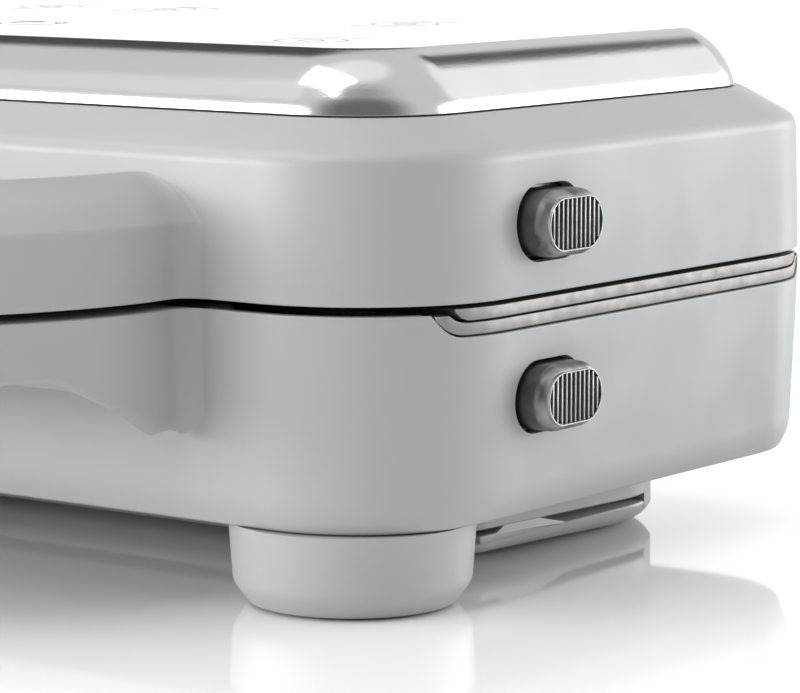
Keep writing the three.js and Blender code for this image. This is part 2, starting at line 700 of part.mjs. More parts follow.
// ---------------------------------------------------------------- handle lock

// The recess in the upper grip that the slider runs in.
function lockRecess() {
  const back = LOCK_FRONT + LOCK_DEPTH;
  return joined(
    box(-LOCK_HALF_WIDTH, LOCK_HALF_WIDTH, LOCK_FRONT - 2, back, UPPER_BOTTOM - 2, LOCK_TOP),
    box(1 - LOCK_HALF_WIDTH, LOCK_HALF_WIDTH - 1, LOCK_FRONT, back + 2.4, 60, 64),
  );
}

// The notch in the lower grip, with a lip along its right half for the slider's toe.
function lockSocket() {
  const back = LOCK_FRONT + LOCK_DEPTH;
  return joined(
    box(-LOCK_HALF_WIDTH, 0.8, LOCK_FRONT - 2, back, LOCK_BOTTOM, LOWER_TOP + 2),
    box(0, LOCK_HALF_WIDTH, LOCK_FRONT - 2, back, LOCK_BOTTOM, LOCK_LIP),
  );
}

// The slider: a plate with finger ribs, a tongue behind it, and a leg and toe below.
function lockSlider() {
  const left = 1 - LOCK_HALF_WIDTH;
  const back = LOCK_FRONT + LOCK_DEPTH - 0.5;
  const leg = LOCK_FRONT + 1.2;
  const ribs = [-10, -7, -4, -1, 2].map((x) => (
    box(x - 0.6, x + 0.6, LOCK_FRONT - 0.6, LOCK_FRONT + 2, 59.5, 65.5)));
  return joined(
    box(left, left + 20, LOCK_FRONT + 0.9, back, UPPER_BOTTOM + 1.2, LOCK_TOP - 0.5),
    box(left + 1, left + 19, back - 1, back + 2.2, 60.5, 63.5),
    box(left, left + 5, leg, back, LOCK_BOTTOM + 1.8, UPPER_BOTTOM + 1.8),
    box(left, left + 12.5, leg, back, LOCK_BOTTOM + 0.6, LOCK_LIP - 0.5),
    ...ribs,
  );
}

// ---------------------------------------------------------------- feet and cord wrap

function frontFoot(x) {
  const top = CASING_BOTTOM - GAP;
  const profile = [[0, FOOT_LIFT], [19, FOOT_LIFT], [21.7, 4.2], [FOOT_RADIUS, top], [0, top]];
  return without(
    turned(profile, x, FOOT_Y, 28),
    upright(PAD_RADIUS + GAP, x, FOOT_Y, -1, 2, 20),
  );
}

function wrapPlan(inset) {
  const rearRadius = WRAP_REAR_RADIUS - inset;
  return plan(WRAP_HALF_WIDTH - inset, WRAP_FRONT + inset, WRAP_REAR - inset, WRAP_FRONT_RADIUS, rearRadius);
}

// A clip on the lip for the end of the lead, level at first and then ramped down.
function cordClip(x0, x1) {
  const foot = WRAP_LIP_TOP - 0.5;
  const shape = new THREE.Shape();
  shape.moveTo(CLIP_FRONT, foot);
  shape.lineTo(CLIP_REAR, foot);
  shape.lineTo(CLIP_RAMP_START, CLIP_TOP);
  shape.lineTo(CLIP_FRONT, CLIP_TOP);
  return extruded(shape, 'x', x0, x1);
}

// The rear support: a flat spool. The cord winds in its groove, which is closed across the rear.
function cordWrapFoot() {
  const top = CASING_BOTTOM - GAP;
  const ahead = WRAP_FRONT - 3;
  const rise = new THREE.Shape();
  rise.moveTo(27, FOOT_LIFT - 0.1);
  rise.lineTo(ahead, FOOT_LIFT + 2.2);
  rise.lineTo(ahead, FOOT_LIFT - 1);
  rise.lineTo(27, FOOT_LIFT - 1);
  const rear = extruded(wrapPlan(0), 'z', FOOT_LIFT, top).intersect(
    box(-HALF_WIDTH, HALF_WIDTH, WRAP_CLOSED_FROM, HALF_DEPTH, 0, top));
  const padHoles = [-REAR_PAD_X, REAR_PAD_X].map((x) => (
    upright(REAR_PAD_RADIUS + GAP, x, REAR_PAD_Y, -1, 2, 20)));
  const cableWay = box(-60, 60, WRAP_CLOSED_FROM, WRAP_REAR + 5, -1, 9);
  return without(
    joined(
      extruded(wrapPlan(0), 'z', FOOT_LIFT, WRAP_LIP_TOP),
      extruded(wrapPlan(8), 'z', WRAP_LIP_TOP - 0.5, WRAP_FLANGE_BOTTOM + 0.5),
      extruded(wrapPlan(0), 'z', WRAP_FLANGE_BOTTOM, top),
      rear,
      cordClip(89.5, 93.2),
      cordClip(-93.2, -89.5),
    ),
    extruded(rise, 'x', -HALF_WIDTH, HALF_WIDTH),
    cableWay,
    ...padHoles,
  );
}

// ---------------------------------------------------------------- electrics

// The bush in the rear wall that the mains lead would pass through.
function cordInletBush() {
  const bore = 3.8;
  const neck = INLET_RADIUS - 0.4;
  const inner = HALF_DEPTH - 8;
  const outer = HALF_DEPTH + 4.5;
  const collar = HALF_DEPTH + 0.1;
  const ring = [
    [bore, inner], [neck, inner], [neck, collar], [9, collar], [8, outer], [bore, outer], [bore, inner],
  ];
  const points = ring.map(([radius, y]) => new THREE.Vector2(radius, y));
  return solid(new THREE.LatheGeometry(points, SMALL_STEPS).translate(INLET_X, 0, INLET_Z));
}

function lens(x) {
  const edge = TOP - 0.2;
  return turned([[0, LENS_BOTTOM], [LENS_RADIUS, LENS_BOTTOM], [LENS_RADIUS, edge], [0, TOP]], x, LENS_Y, 20);
}

// The screws: head below, shank above.
function screw(x, y, headZ, length) {
  return turned([
    [0, headZ], [SCREW_HEAD_RADIUS - 0.6, headZ], [SCREW_HEAD_RADIUS, headZ + 0.6],
    [SCREW_HEAD_RADIUS, headZ + 1.6], [SCREW_SHANK_RADIUS, headZ + 1.6],
    [SCREW_SHANK_RADIUS, headZ + length], [0, headZ + length],
  ], x, y, 12);
}

// ---------------------------------------------------------------- assembly

// Base
addPiece('lower_casing', lowerCasing(), PLASTIC_GREY);
addPiece('lower_inner_frame', lowerInnerFrame(), BLACK_PLASTIC);
addPiece('lower_heat_tray', heatTray(), SHEET_STEEL);
addPiece('lower_heating_element', heatingElement(), DARK_METAL);
addPiece('lower_donut_plate', lowerPlate(), NON_STICK);
addPiece('lower_plate_hook', plateHook(), SHEET_STEEL);
addPiece('lower_button_guide', buttonGuide(), SHEET_STEEL);
addPiece('lower_thermostat', thermostat(), CERAMIC_WHITE);
addPiece('mains_terminal_block', box(-54, -24, 59, 69, 20.5, 31), CERAMIC_WHITE);
addPiece('cord_inlet_bush', cordInletBush(), BLACK_RUBBER);
addPiece('front_left_foot', frontFoot(-FOOT_X), PLASTIC_GREY);
addPiece('front_right_foot', frontFoot(FOOT_X), PLASTIC_GREY);
addPiece('front_left_pad', upright(PAD_RADIUS, -FOOT_X, FOOT_Y, 0, 1.7, 20), BLACK_RUBBER);
addPiece('front_right_pad', upright(PAD_RADIUS, FOOT_X, FOOT_Y, 0, 1.7, 20), BLACK_RUBBER);
addPiece('cord_wrap_foot', cordWrapFoot(), PLASTIC_GREY);
addPiece('rear_left_pad', upright(REAR_PAD_RADIUS, -REAR_PAD_X, REAR_PAD_Y, 0, 1.7, 20), BLACK_RUBBER);
addPiece('rear_right_pad', upright(REAR_PAD_RADIUS, REAR_PAD_X, REAR_PAD_Y, 0, 1.7, 20), BLACK_RUBBER);
for (const [side, x] of [['left', -HINGE_X], ['right', HINGE_X]]) {
  const half = HINGE_HALF_LENGTH + 0.5;
  addPiece(`hinge_pin_${side}`, lying(PIN_RADIUS, x - half, x + half, HINGE_Y, HINGE_Z), BRIGHT_SCREW);
}
screwPlaces.forEach(([x, y], i) => {
  addPiece(`base_screw_${i + 1}`, screw(x, y, CASING_BOTTOM + 0.1, SCREW_LENGTH), BRIGHT_SCREW);
});

// Lid
addPiece('upper_casing', upperCasing(), PLASTIC_GREY);
addPiece('top_cover', topCover(), BRUSHED_STEEL);
addTurnedOver('upper_inner_frame', upperInnerFrameFaceUp(), BLACK_PLASTIC);
addTurnedOver('upper_heat_tray', heatTray(), SHEET_STEEL);
addTurnedOver('upper_heating_element', heatingElement(), DARK_METAL);
addTurnedOver('upper_donut_plate', upperPlateFaceUp(), NON_STICK);
addTurnedOver('upper_plate_hook', plateHook(), SHEET_STEEL);
addTurnedOver('upper_button_guide', buttonGuide(), SHEET_STEEL);
addTurnedOver('upper_thermostat', thermostat(), CERAMIC_WHITE);
addPiece('thermal_fuse', lying(2.8, 20, 40, 0, 84.2, 12), CERAMIC_WHITE);
addPiece('lens_holder', box(-46, -8, LENS_Y - 6.5, LENS_Y + 6.5, 91, LENS_BOTTOM - 0.4), BLACK_PLASTIC);
addPiece('power_lens', lens(lensPlaces[0]), RED_LENS);
addPiece('ready_lens', lens(lensPlaces[1]), GREEN_LENS);
screwPlaces.forEach(([x, y], i) => {
  addPiece(`lid_screw_${i + 1}`, screw(x, y, LID_SCREW_Z, SCREW_LENGTH), BRIGHT_SCREW);
});

// Release buttons and lock
addPiece('lower_release_button', releaseButton(LOWER_BUTTON_Z), DARK_METAL);
addPiece('lower_button_spring', buttonSpring(), BRIGHT_SCREW);
addTurnedOver('upper_release_button', releaseButton(2 * SPLIT - UPPER_BUTTON_Z), DARK_METAL);
addTurnedOver('upper_button_spring', buttonSpring(), BRIGHT_SCREW);
addPiece('handle_lock_slider', lockSlider(), DARK_METAL);

// The footprint reaches from the lock's ribs to the hinge, and from the left wall to the buttons' faces.
const FOOTPRINT_FRONT = LOCK_FRONT - 0.6;
const FOOTPRINT_REAR = HINGE_Y + KNUCKLE_RADIUS;
casingFrame.position.set(-BUTTON_STANDS_OUT / 2, -(FOOTPRINT_FRONT + FOOTPRINT_REAR) / 2, 0);

const donutMaker = new THREE.Group();
donutMaker.name = 'donut_maker';
donutMaker.add(casingFrame);

export default donutMaker;
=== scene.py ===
# A donut maker, closed at rest: the visible shape, the materials, the light and the camera.
# Sizes are in millimetres about the middle of the casing's footprint. X is to the appliance's right,
# Y is to the rear and Z is up from the table top.
import math

import bpy
import numpy as np
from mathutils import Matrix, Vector


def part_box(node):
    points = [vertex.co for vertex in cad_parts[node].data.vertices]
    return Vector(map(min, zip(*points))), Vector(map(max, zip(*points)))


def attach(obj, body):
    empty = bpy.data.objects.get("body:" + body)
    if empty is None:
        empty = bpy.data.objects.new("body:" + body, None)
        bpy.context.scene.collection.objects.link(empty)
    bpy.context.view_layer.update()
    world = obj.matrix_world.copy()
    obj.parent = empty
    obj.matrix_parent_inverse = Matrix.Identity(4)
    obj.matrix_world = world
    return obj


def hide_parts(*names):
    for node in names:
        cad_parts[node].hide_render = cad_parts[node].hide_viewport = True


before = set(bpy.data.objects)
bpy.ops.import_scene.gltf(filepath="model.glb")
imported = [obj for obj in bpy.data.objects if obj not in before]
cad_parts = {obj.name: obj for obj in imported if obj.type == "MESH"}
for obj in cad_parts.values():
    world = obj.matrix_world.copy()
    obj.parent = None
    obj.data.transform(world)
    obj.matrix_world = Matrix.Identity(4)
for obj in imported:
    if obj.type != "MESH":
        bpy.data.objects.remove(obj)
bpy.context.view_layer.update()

# ---------------------------------------------------------------- dimensions

MM = 0.001
cover_low, cover_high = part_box("top_cover")
MIDDLE = (cover_low + cover_high) / 2

HALF_WIDTH = 120
HALF_DEPTH = 78
CORNER = 32
WALL = 2.6
BOTTOM = 15.6
LOWER_TOP = 54.5
UPPER_BOTTOM = 56.2
SHOULDER = 82.2
SEAT = 88.2
TOP = 99.95
SPLIT = 53
HINGE_Y = 86
HINGE_Z = 55.35
HINGE_X = 63
FOOT_X = 91.6
FOOT_Y = -54.2
BUTTON_Y = -32.4
BUTTON_FACE = 125.5
POCKET_WIDTH = 21.4
LOWER_POCKET_HEIGHT = 13.4
UPPER_POCKET_HEIGHT = 14
LOWER_BUTTON_Z = 37.6
UPPER_BUTTON_Z = 68.9
RED_X = -36
GREEN_X = -18
LENS_Y = -17.5
RING_X = 68
RING_Y = 30
SCREW_X = 88
SCREW_Y = 67.5
REAR_PAD_X = 68
REAR_PAD_Y = 44
FRONT_PAD_RADIUS = 15
REAR_PAD_RADIUS = 9
PAD_PLAY = 0.3
CORNER_STEPS = 40
OBLONG_STEPS = 24
SHARP_ANGLE = 32
PLATE_EDGE = 0.25
PLATE_BACK = 55.4
LOWER_PLATE_END = 62.2
LOWER_PLATE_FACE = 52.85
UPPER_PLATE_END = 58.4
UPPER_PLATE_FACE = 53.15
GRIP_ROOT = 77
GRIP_REACH = 53
GRIP_UNDERSIDE = 43.8
GUSSET_BOTTOM = 31.4
GUSSET_RISE = 12.4
GUSSET_START = 8
GUSSET_END = 29
HOLLOW_HALF_WIDTH = 70.6
HOLLOW_TOP = 41.8
DISH_RIM = 77.2
LOCK_FRONT = -HALF_DEPTH - 56
LOCK_REAR = -HALF_DEPTH - 47
LOCK_HALF_WIDTH = 15
LOCK_FLOOR = 46.6
HINGE_RADIUS = 6.5
WEB_FOOT = 39.5
WRAP_HALF_WIDTH = 94
WRAP_FRONT = -25
WRAP_REAR = 62

# ---------------------------------------------------------------- outlines


def arc(x, y, radius, start, end, steps):
    """Points on a circular arc, angles in degrees."""
    angles = [math.radians(start + (end - start) * i / steps) for i in range(steps + 1)]
    return [(x + radius * math.cos(a), y + radius * math.sin(a)) for a in angles]


def circle(x, y, radius, steps):
    """Points all the way round a circle, the first one not repeated."""
    return arc(x, y, radius, 0, 360, steps)[:-1]


def box_loop(low_x, high_x, low_y, high_y):
    """A plain rectangle, anticlockwise."""
    return [(low_x, low_y), (high_x, low_y), (high_x, high_y), (low_x, high_y)]


def rectangle(half_width, front, rear, front_radius, rear_radius=None, steps=CORNER_STEPS):
    """A rounded rectangle, anticlockwise from its front right corner."""
    rear_radius = front_radius if rear_radius is None else rear_radius
    x_front = half_width - front_radius
    x_rear = half_width - rear_radius
    return (
        arc(x_front, front + front_radius, front_radius, -90, 0, steps)
        + arc(x_rear, rear - rear_radius, rear_radius, 0, 90, steps)
        + arc(-x_rear, rear - rear_radius, rear_radius, 90, 180, steps)
        + arc(-x_front, front + front_radius, front_radius, 180, 270, steps)
    )


def oblong(width, height, y, z):
    """An oblong with round ends, in the plane of the right-hand wall."""
    r = height / 2
    reach = width / 2 - r
    return arc(y + reach, z, r, -90, 90, OBLONG_STEPS) + arc(y - reach, z, r, 90, 270, OBLONG_STEPS)


def bezier(a, b, c, d, steps):
    """Points on a cubic curve, its last point left out."""
    points = []
    for i in range(steps):
        t = i / steps
        w = ((1 - t) ** 3, 3 * t * (1 - t) ** 2, 3 * t * t * (1 - t), t ** 3)
        points.append(tuple(sum(k * p[axis] for k, p in zip(w, (a, b, c, d))) for axis in (0, 1)))
    return points


def inset_loop(loop, distance):
    """A loop moved inwards along its normals. The loop runs anticlockwise."""
    p = np.array(loop, dtype=float)
    ahead = np.roll(p, -1, axis=0) - p
    behind = p - np.roll(p, 1, axis=0)
    ahead /= np.maximum(np.linalg.norm(ahead, axis=1, keepdims=True), 1e-9)
    behind /= np.maximum(np.linalg.norm(behind, axis=1, keepdims=True), 1e-9)
    ahead = np.where(np.abs(ahead).sum(axis=1, keepdims=True) < 0.5, behind, ahead)
    behind = np.where(np.abs(behind).sum(axis=1, keepdims=True) < 0.5, ahead, behind)
    tangent = ahead + behind
    length = np.maximum(np.linalg.norm(tangent, axis=1, keepdims=True), 0.3)
    normal = np.stack([-tangent[:, 1], tangent[:, 0]], axis=1) / length
    stretch = np.clip(2 / length, 1, 1.6)
    return p + normal * distance * stretch


def eased(levels, steps=6):
    """A profile with its corners rounded. The last number of each level is how far its corner is eased."""
    result = []
    for i, level in enumerate(levels):
        here = np.array(level[:-1], dtype=float)
        ease = level[-1]
        if ease == 0 or i in (0, len(levels) - 1):
            result.append(here)
            continue
        before = np.array(levels[i - 1][:-1], dtype=float) - here
        after = np.array(levels[i + 1][:-1], dtype=float) - here
        start = here + before * ease / math.hypot(before[0], before[-1])
        end = here + after * ease / math.hypot(after[0], after[-1])
        for k in range(steps + 1):
            t = k / steps
            result.append((1 - t) ** 2 * start + 2 * t * (1 - t) * here + t * t * end)
    return result


# ---------------------------------------------------------------- meshes


def loft(rings, start_cap=True, end_cap=True):
    """A skin over rings of equal point counts: (vertices, faces)."""
    count = len(rings[0])
    vertices = [tuple(p) for ring in rings for p in ring]
    faces = []
    for r in range(len(rings) - 1):
        for i in range(count):
            j = (i + 1) % count
            a, b = r * count + i, r * count + j
            faces.append((a, b, b + count, a + count))
    if start_cap:
        faces.append(tuple(reversed(range(count))))
    if end_cap:
        faces.append(tuple(range((len(rings) - 1) * count, len(rings) * count)))
    return vertices, faces


def on_axis(loop, axis, at):
    """A flat loop set across an axis."""
    if axis == "x":
        return [(at, a, b) for a, b in loop]
    if axis == "y":
        return [(-a, at, b) for a, b in loop]
    return [(a, b, at) for a, b in loop]


def slab(loop, axis, low, high, ease=0.4, steps=4):
    """A loop pushed along an axis, with its edges rounded."""
    rings = []
    for k in range(steps + 1):
        a = math.pi / 2 * k / steps
        edge = inset_loop(loop, ease * (1 - math.sin(a)))
        rings.append(on_axis(edge, axis, low + ease * (1 - math.cos(a))))
    for k in range(steps + 1):
        a = math.pi / 2 * k / steps
        edge = inset_loop(loop, ease * (1 - math.cos(a)))
        rings.append(on_axis(edge, axis, high - ease * (1 - math.sin(a))))
    return loft(rings)


def spun(profile, x, y, steps=96):
    """A profile of (radius, height) turned about a vertical axis."""
    turns = circle(0, 0, 1, steps)
    return loft([[(x + r * c, y + r * s, z) for c, s in turns] for r, z in profile])


def together(*parts):
    """Several skins as one."""
    vertices, faces = [], []
    for part_vertices, part_faces in parts:
        start = len(vertices)
        vertices += part_vertices
        faces += [tuple(i + start for i in face) for face in part_faces]
    return vertices, faces


def mirrored(part):
    """A skin and its mirror image on the other side of the object."""
    vertices, faces = part
    turned = [(-x, y, z) for x, y, z in vertices]
    return together(part, (turned, [tuple(reversed(f)) for f in faces]))


def mesh_object(name, part):
    """Makes a mesh object from a skin."""
    vertices, faces = part
    mesh = bpy.data.meshes.new(name)
    mesh.from_pydata([(MIDDLE.x + x * MM, MIDDLE.y + y * MM, z * MM) for x, y, z in vertices], [], faces)
    mesh.validate()
    made = bpy.data.objects.new(name, mesh)
    bpy.context.scene.collection.objects.link(made)
    return made


def cut(target, cutter, operation="DIFFERENCE", use_self=False):
    """Cuts a mesh object with a skin, and applies the result. use_self is for a target of several shells."""
    tool = mesh_object(target.name + "_tool", cutter)
    step = target.modifiers.new("cut", "BOOLEAN")
    step.operation = operation
    step.solver = "EXACT"
    step.use_self = use_self
    step.object = tool
    shaped = bpy.data.meshes.new_from_object(target.evaluated_get(bpy.context.evaluated_depsgraph_get()))
    target.modifiers.clear()
    target.data = shaped
    bpy.data.objects.remove(tool)


def join(target, extra):
    """Makes a mesh object part of another."""
    with bpy.context.temp_override(active_object=target, selected_editable_objects=[target, extra]):
        bpy.ops.object.join()


def absorb(target, part):
    """Adds a skin to a mesh object as another shell of the same piece."""
    join(target, mesh_object(target.name + "_part", part))


def finish_piece(made, body, finish, nodes=()):
    """Shades a piece, gives it its material, and lets it ride on its body."""
    mesh = made.data
    mesh.polygons.foreach_set("use_smooth", [True] * len(mesh.polygons))
    mesh.set_sharp_from_angle(angle=math.radians(SHARP_ANGLE))
    if not mesh.materials:
        mesh.materials.append(finish)
    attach(made, body)
    if nodes:
        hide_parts(*nodes)
    return made


# ---------------------------------------------------------------- materials


class Nodes:
    """A material's node tree, with short calls for the nodes used here."""

    def __init__(self, name):
        self.material = bpy.data.materials.new(name)
        self.material.use_nodes = True
        self.tree = self.material.node_tree
        self.shader = self.tree.nodes["Principled BSDF"]
        self.place = self.tree.nodes.new("ShaderNodeTexCoord").outputs["Object"]

    def new(self, kind, **values):
        node = self.tree.nodes.new(kind)
        for key, value in values.items():
            setattr(node, key, value)
        return node

    def link(self, a, b):
        self.tree.links.new(a, b)

    def stretched(self, scale):
        node = self.new("ShaderNodeMapping")
        node.inputs["Scale"].default_value = scale
        self.link(self.place, node.inputs["Vector"])
        return node.outputs["Vector"]

    def noise(self, scale, detail=3.0, stretch=(1, 1, 1)):
        node = self.new("ShaderNodeTexNoise")
        node.inputs["Scale"].default_value = scale
        node.inputs["Detail"].default_value = detail
        self.link(self.stretched(stretch), node.inputs["Vector"])
        return node.outputs["Fac"]

    def between(self, factor, low, high):
        """A factor of 0.3 to 0.7 carried over to low to high."""
        node = self.new("ShaderNodeMapRange")
        node.inputs["From Min"].default_value = 0.3
        node.inputs["From Max"].default_value = 0.7
        node.inputs["To Min"].default_value = low
        node.inputs["To Max"].default_value = high
        self.link(factor, node.inputs["Value"])
        return node.outputs["Result"]

    def maths(self, operation, a, b):
        node = self.new("ShaderNodeMath", operation=operation)
        for socket, value in zip(node.inputs, (a, b)):
            if isinstance(value, (int, float)):
                socket.default_value = value
            else:
                self.link(value, socket)
        return node.outputs["Value"]

    def colour(self, factor, dark, light):
        ramp = self.new("ShaderNodeValToRGB")
        ramp.color_ramp.elements[0].position = 0.3
        ramp.color_ramp.elements[0].color = (*dark, 1)
        ramp.color_ramp.elements[1].position = 0.7
        ramp.color_ramp.elements[1].color = (*light, 1)
        self.link(factor, ramp.inputs["Fac"])
        self.link(ramp.outputs["Color"], self.shader.inputs["Base Color"])

    def rough(self, factor, low, high):
        self.link(self.between(factor, low, high), self.shader.inputs["Roughness"])

    def bump(self, height, strength, distance):
        node = self.new("ShaderNodeBump")
        node.inputs["Strength"].default_value = strength
        node.inputs["Distance"].default_value = distance
        self.link(height, node.inputs["Height"])
        self.link(node.outputs["Normal"], self.shader.inputs["Normal"])

    def fixed(self, **values):
        for key, value in values.items():
            self.shader.inputs[key.replace("_", " ")].default_value = value


def plastic(name, dark, light, roughness, grain):
    """Moulded plastic: a fine even grain, with slow changes of tone and gloss."""
    n = Nodes(name)
    n.colour(n.noise(26, 2.0), dark, light)
    n.rough(n.noise(60, 3.0), roughness - 0.04, roughness + 0.04)
    n.bump(n.noise(2600, 2.0), grain, 0.00002)
    n.fixed(IOR=1.5)
    return n.material


def linen_steel(name):
    """Rolled stainless sheet with a linen pattern: short ridges along X and along Y, crossing."""
    n = Nodes(name)
    along = n.noise(1500, 1.0, (0.25, 1.5, 1.5))
    across = n.noise(1500, 1.0, (1.5, 0.25, 1.5))
    weave = n.maths("MULTIPLY", along, across)
    n.colour(n.noise(40, 2.0), (0.52, 0.515, 0.508), (0.55, 0.545, 0.538))
    n.rough(n.noise(90, 2.0), 0.15, 0.165)
    n.bump(weave, 0.3, 0.00005)
    n.fixed(Metallic=1.0)
    return n.material


def metal(name, dark, light, low, high, scale, strength, stretch=(1, 1, 1)):
    """Bare or coated metal: grain along one direction, with uneven gloss."""
    n = Nodes(name)
    n.colour(n.noise(scale / 12, 3.0), dark, light)
    n.rough(n.noise(scale / 8, 3.0), low, high)
    n.bump(n.noise(scale, 2.0, stretch), strength, 0.00003)
    n.fixed(Metallic=1.0)
    return n.material


def coating(name):
    """Dark non-stick coating with a fine pale fleck."""
    n = Nodes(name)
    n.colour(n.noise(1400, 1.0), (0.028, 0.028, 0.030), (0.075, 0.075, 0.078))
    n.rough(n.noise(120, 3.0), 0.32, 0.42)
    n.bump(n.noise(1800, 2.0), 0.25, 0.00003)
    n.fixed(IOR=1.5)
    return n.material


def rubber(name):
    n = Nodes(name)
    n.colour(n.noise(300, 3.0), (0.010, 0.010, 0.011), (0.022, 0.022, 0.023))
    n.rough(n.noise(200, 3.0), 0.7, 0.88)
    n.bump(n.noise(1800, 2.0), 0.3, 0.00005)
    return n.material


def ceramic(name):
    n = Nodes(name)
    n.colour(n.noise(120, 4.0), (0.62, 0.60, 0.55), (0.76, 0.74, 0.69))
    n.rough(n.noise(300, 3.0), 0.5, 0.7)
    n.bump(n.noise(1500, 3.0), 0.3, 0.00004)
    return n.material


def lens(name, dark, light):
    """Tinted clear plastic, polished on top, with a faint grain."""
    n = Nodes(name)
    n.colour(n.noise(400, 2.0), dark, light)
    n.rough(n.noise(200, 2.0), 0.06, 0.14)
    n.bump(n.noise(900, 1.0), 0.1, 0.00002)
    n.fixed(IOR=1.49, Transmission_Weight=0.35, Coat_Weight=0.4)
    return n.material


CASING = plastic("casing_plastic", (0.405, 0.415, 0.418), (0.422, 0.432, 0.435), 0.40, 0.2)
LINEN = linen_steel("linen_steel")
RIM = metal("rim_metal", (0.29, 0.286, 0.276), (0.345, 0.34, 0.33), 0.56, 0.64, 3600, 0.22)
COATING = coating("non_stick")
BUTTON = metal("button_metal", (0.10, 0.102, 0.106), (0.17, 0.172, 0.176), 0.34, 0.46, 1800, 0.4)
BUTTON_EDGE = metal("button_edge", (0.09, 0.09, 0.094), (0.36, 0.36, 0.365), 0.40, 0.52, 2400, 1.0)
RIDGE = metal("button_ridge", (0.27, 0.27, 0.274), (0.38, 0.38, 0.384), 0.4, 0.52, 2400, 0.3)
FRAME_BLACK = plastic("frame_black", (0.010, 0.010, 0.011), (0.018, 0.018, 0.019), 0.55, 0.3)
RUBBER = rubber("rubber_black")
SHEET = metal("sheet_steel", (0.36, 0.37, 0.38), (0.46, 0.47, 0.48), 0.35, 0.5, 900, 0.3, (0.1, 1, 1))
SCREW = metal("screw_steel", (0.42, 0.42, 0.43), (0.56, 0.56, 0.57), 0.25, 0.4, 1500, 0.3)
SHEATH = metal("heater_sheath", (0.07, 0.068, 0.064), (0.14, 0.13, 0.12), 0.4, 0.55, 700, 0.4)
CERAMIC = ceramic("ceramic_white")
RED = lens("lens_red", (0.26, 0.008, 0.006), (0.36, 0.014, 0.010))
GREEN = lens("lens_green", (0.010, 0.17, 0.035), (0.016, 0.25, 0.055))
INK = plastic("print_grey", (0.20, 0.20, 0.205), (0.27, 0.27, 0.275), 0.5, 0.1)

# ---------------------------------------------------------------- casings


def casing_rings(levels, height_of):
    """Rings round the casing. A level is (side inset, end inset, corner radius, height)."""
    rings = []
    for side, end, radius, z in levels:
        loop = rectangle(HALF_WIDTH - side, end - HALF_DEPTH, HALF_DEPTH - end, radius)
        rings.append([(x, y, height_of(y, z)) for x, y in loop])
    return rings


def curve_height(reach, flat, end, low, high, control):
    """The height of an edge that is level to flat, then curves up to high at end."""
    if reach <= flat:
        return low
    if reach >= end:
        return high
    a, b, c = flat - 2 * control + end, 2 * (control - flat), flat - reach
    t = (-b + math.sqrt(b * b - 4 * a * c)) / (2 * a) if abs(a) > 1e-6 else -c / b
    return low + (high - low) * t * t


WINDOW_FLAT = 56.4
WINDOW_END = 62.5
WINDOW_SILL = 50.3


def window_height(y, z):
    """The lower casing's edge dips along both sides for the plate rims."""
    if z < 45:
        return z
    edge = curve_height(abs(y), WINDOW_FLAT, WINDOW_END, WINDOW_SILL, LOWER_TOP, WINDOW_END - 2.2)
    return z - LOWER_TOP + edge


def level_height(y, z):
    """The lid's edge is level all the way round."""
    return z


GRIP = (
    [(GRIP_ROOT, -8), (GRIP_ROOT, -0.1)]
    + bezier((GRIP_ROOT, 0), (74.4, 0.1), (72.4, 1.7), (72.4, 4.6), 18)
    + bezier((72.4, 4.6), (72.7, 15), (69.5, 27), (62.5, 39.5), 26)
    + bezier((62.5, 39.5), (56.3, 50.5), (44, 51.6), (0, GRIP_REACH), 30)
)
GRIP = GRIP + [(0, GRIP_REACH)] + [(-x, reach) for x, reach in reversed(GRIP)]
GRIP = list(reversed(GRIP))


def wall_lean(z):
    """How far the front wall stands in from its middle edge at a height."""
    if z > SPLIT:
        return 0.7 * max(0, z - UPPER_BOTTOM) / (SHOULDER - UPPER_BOTTOM)
    if z > 40:
        return 0.4 * (LOWER_TOP - z) / (LOWER_TOP - 40)
    return 0.4 + 0.9 * (40 - z) / 20.2


def grip_point(x, reach, inset, z):
    """A point of the grip's outline, drawn in by a distance. The roots follow the wall."""
    reach = reach * (1 - inset / GRIP_REACH)
    reach -= (wall_lean(z) + 0.05) * min(1, max(0, 1 - reach / 12))
    return (x * (1 - inset / GRIP_ROOT), -HALF_DEPTH - reach, z)


def grip_ring(inset, z):
    return [grip_point(x, reach, inset, z) for x, reach in GRIP]


def upper_grip():
    """The lid's half of the handle: an upright wall, a rounded bevel up to a crest, and a dish behind it."""
    rings = []
    profile = eased([
        (2.0, UPPER_BOTTOM, 0), (0, UPPER_BOTTOM, 0.5), (0, 69.6, 0.7), (3.6, 73.8, 2.2),
        (9.4, 77.3, 3), (13.6, 78.2, 1.4), (17.5, DISH_RIM, 0),
    ])
    for inset, z in profile:
        rings.append(grip_ring(inset, z))
    last = rings[-1]
    anchor = -HALF_DEPTH + 4
    for k in range(1, 13):
        share = k / 13
        depth = 3.6 * math.sin(math.pi / 2 * share)
        drawn_in = [(x * (1 - share), anchor + (y - anchor) * (1 - share)) for x, y, z in last]
        rings.append(on_axis(drawn_in, "z", DISH_RIM - depth))
    return loft(rings)


def grip_bottom(reach):
    """The lower half's underside: deep beside the wall, and cut back towards the front."""
    if reach < GUSSET_START:
        return GUSSET_BOTTOM
    if reach > GUSSET_END:
        return GRIP_UNDERSIDE
    return GUSSET_BOTTOM + GUSSET_RISE * curve_height(reach, GUSSET_START, GUSSET_END, 0, 1, 12.5) ** 0.75


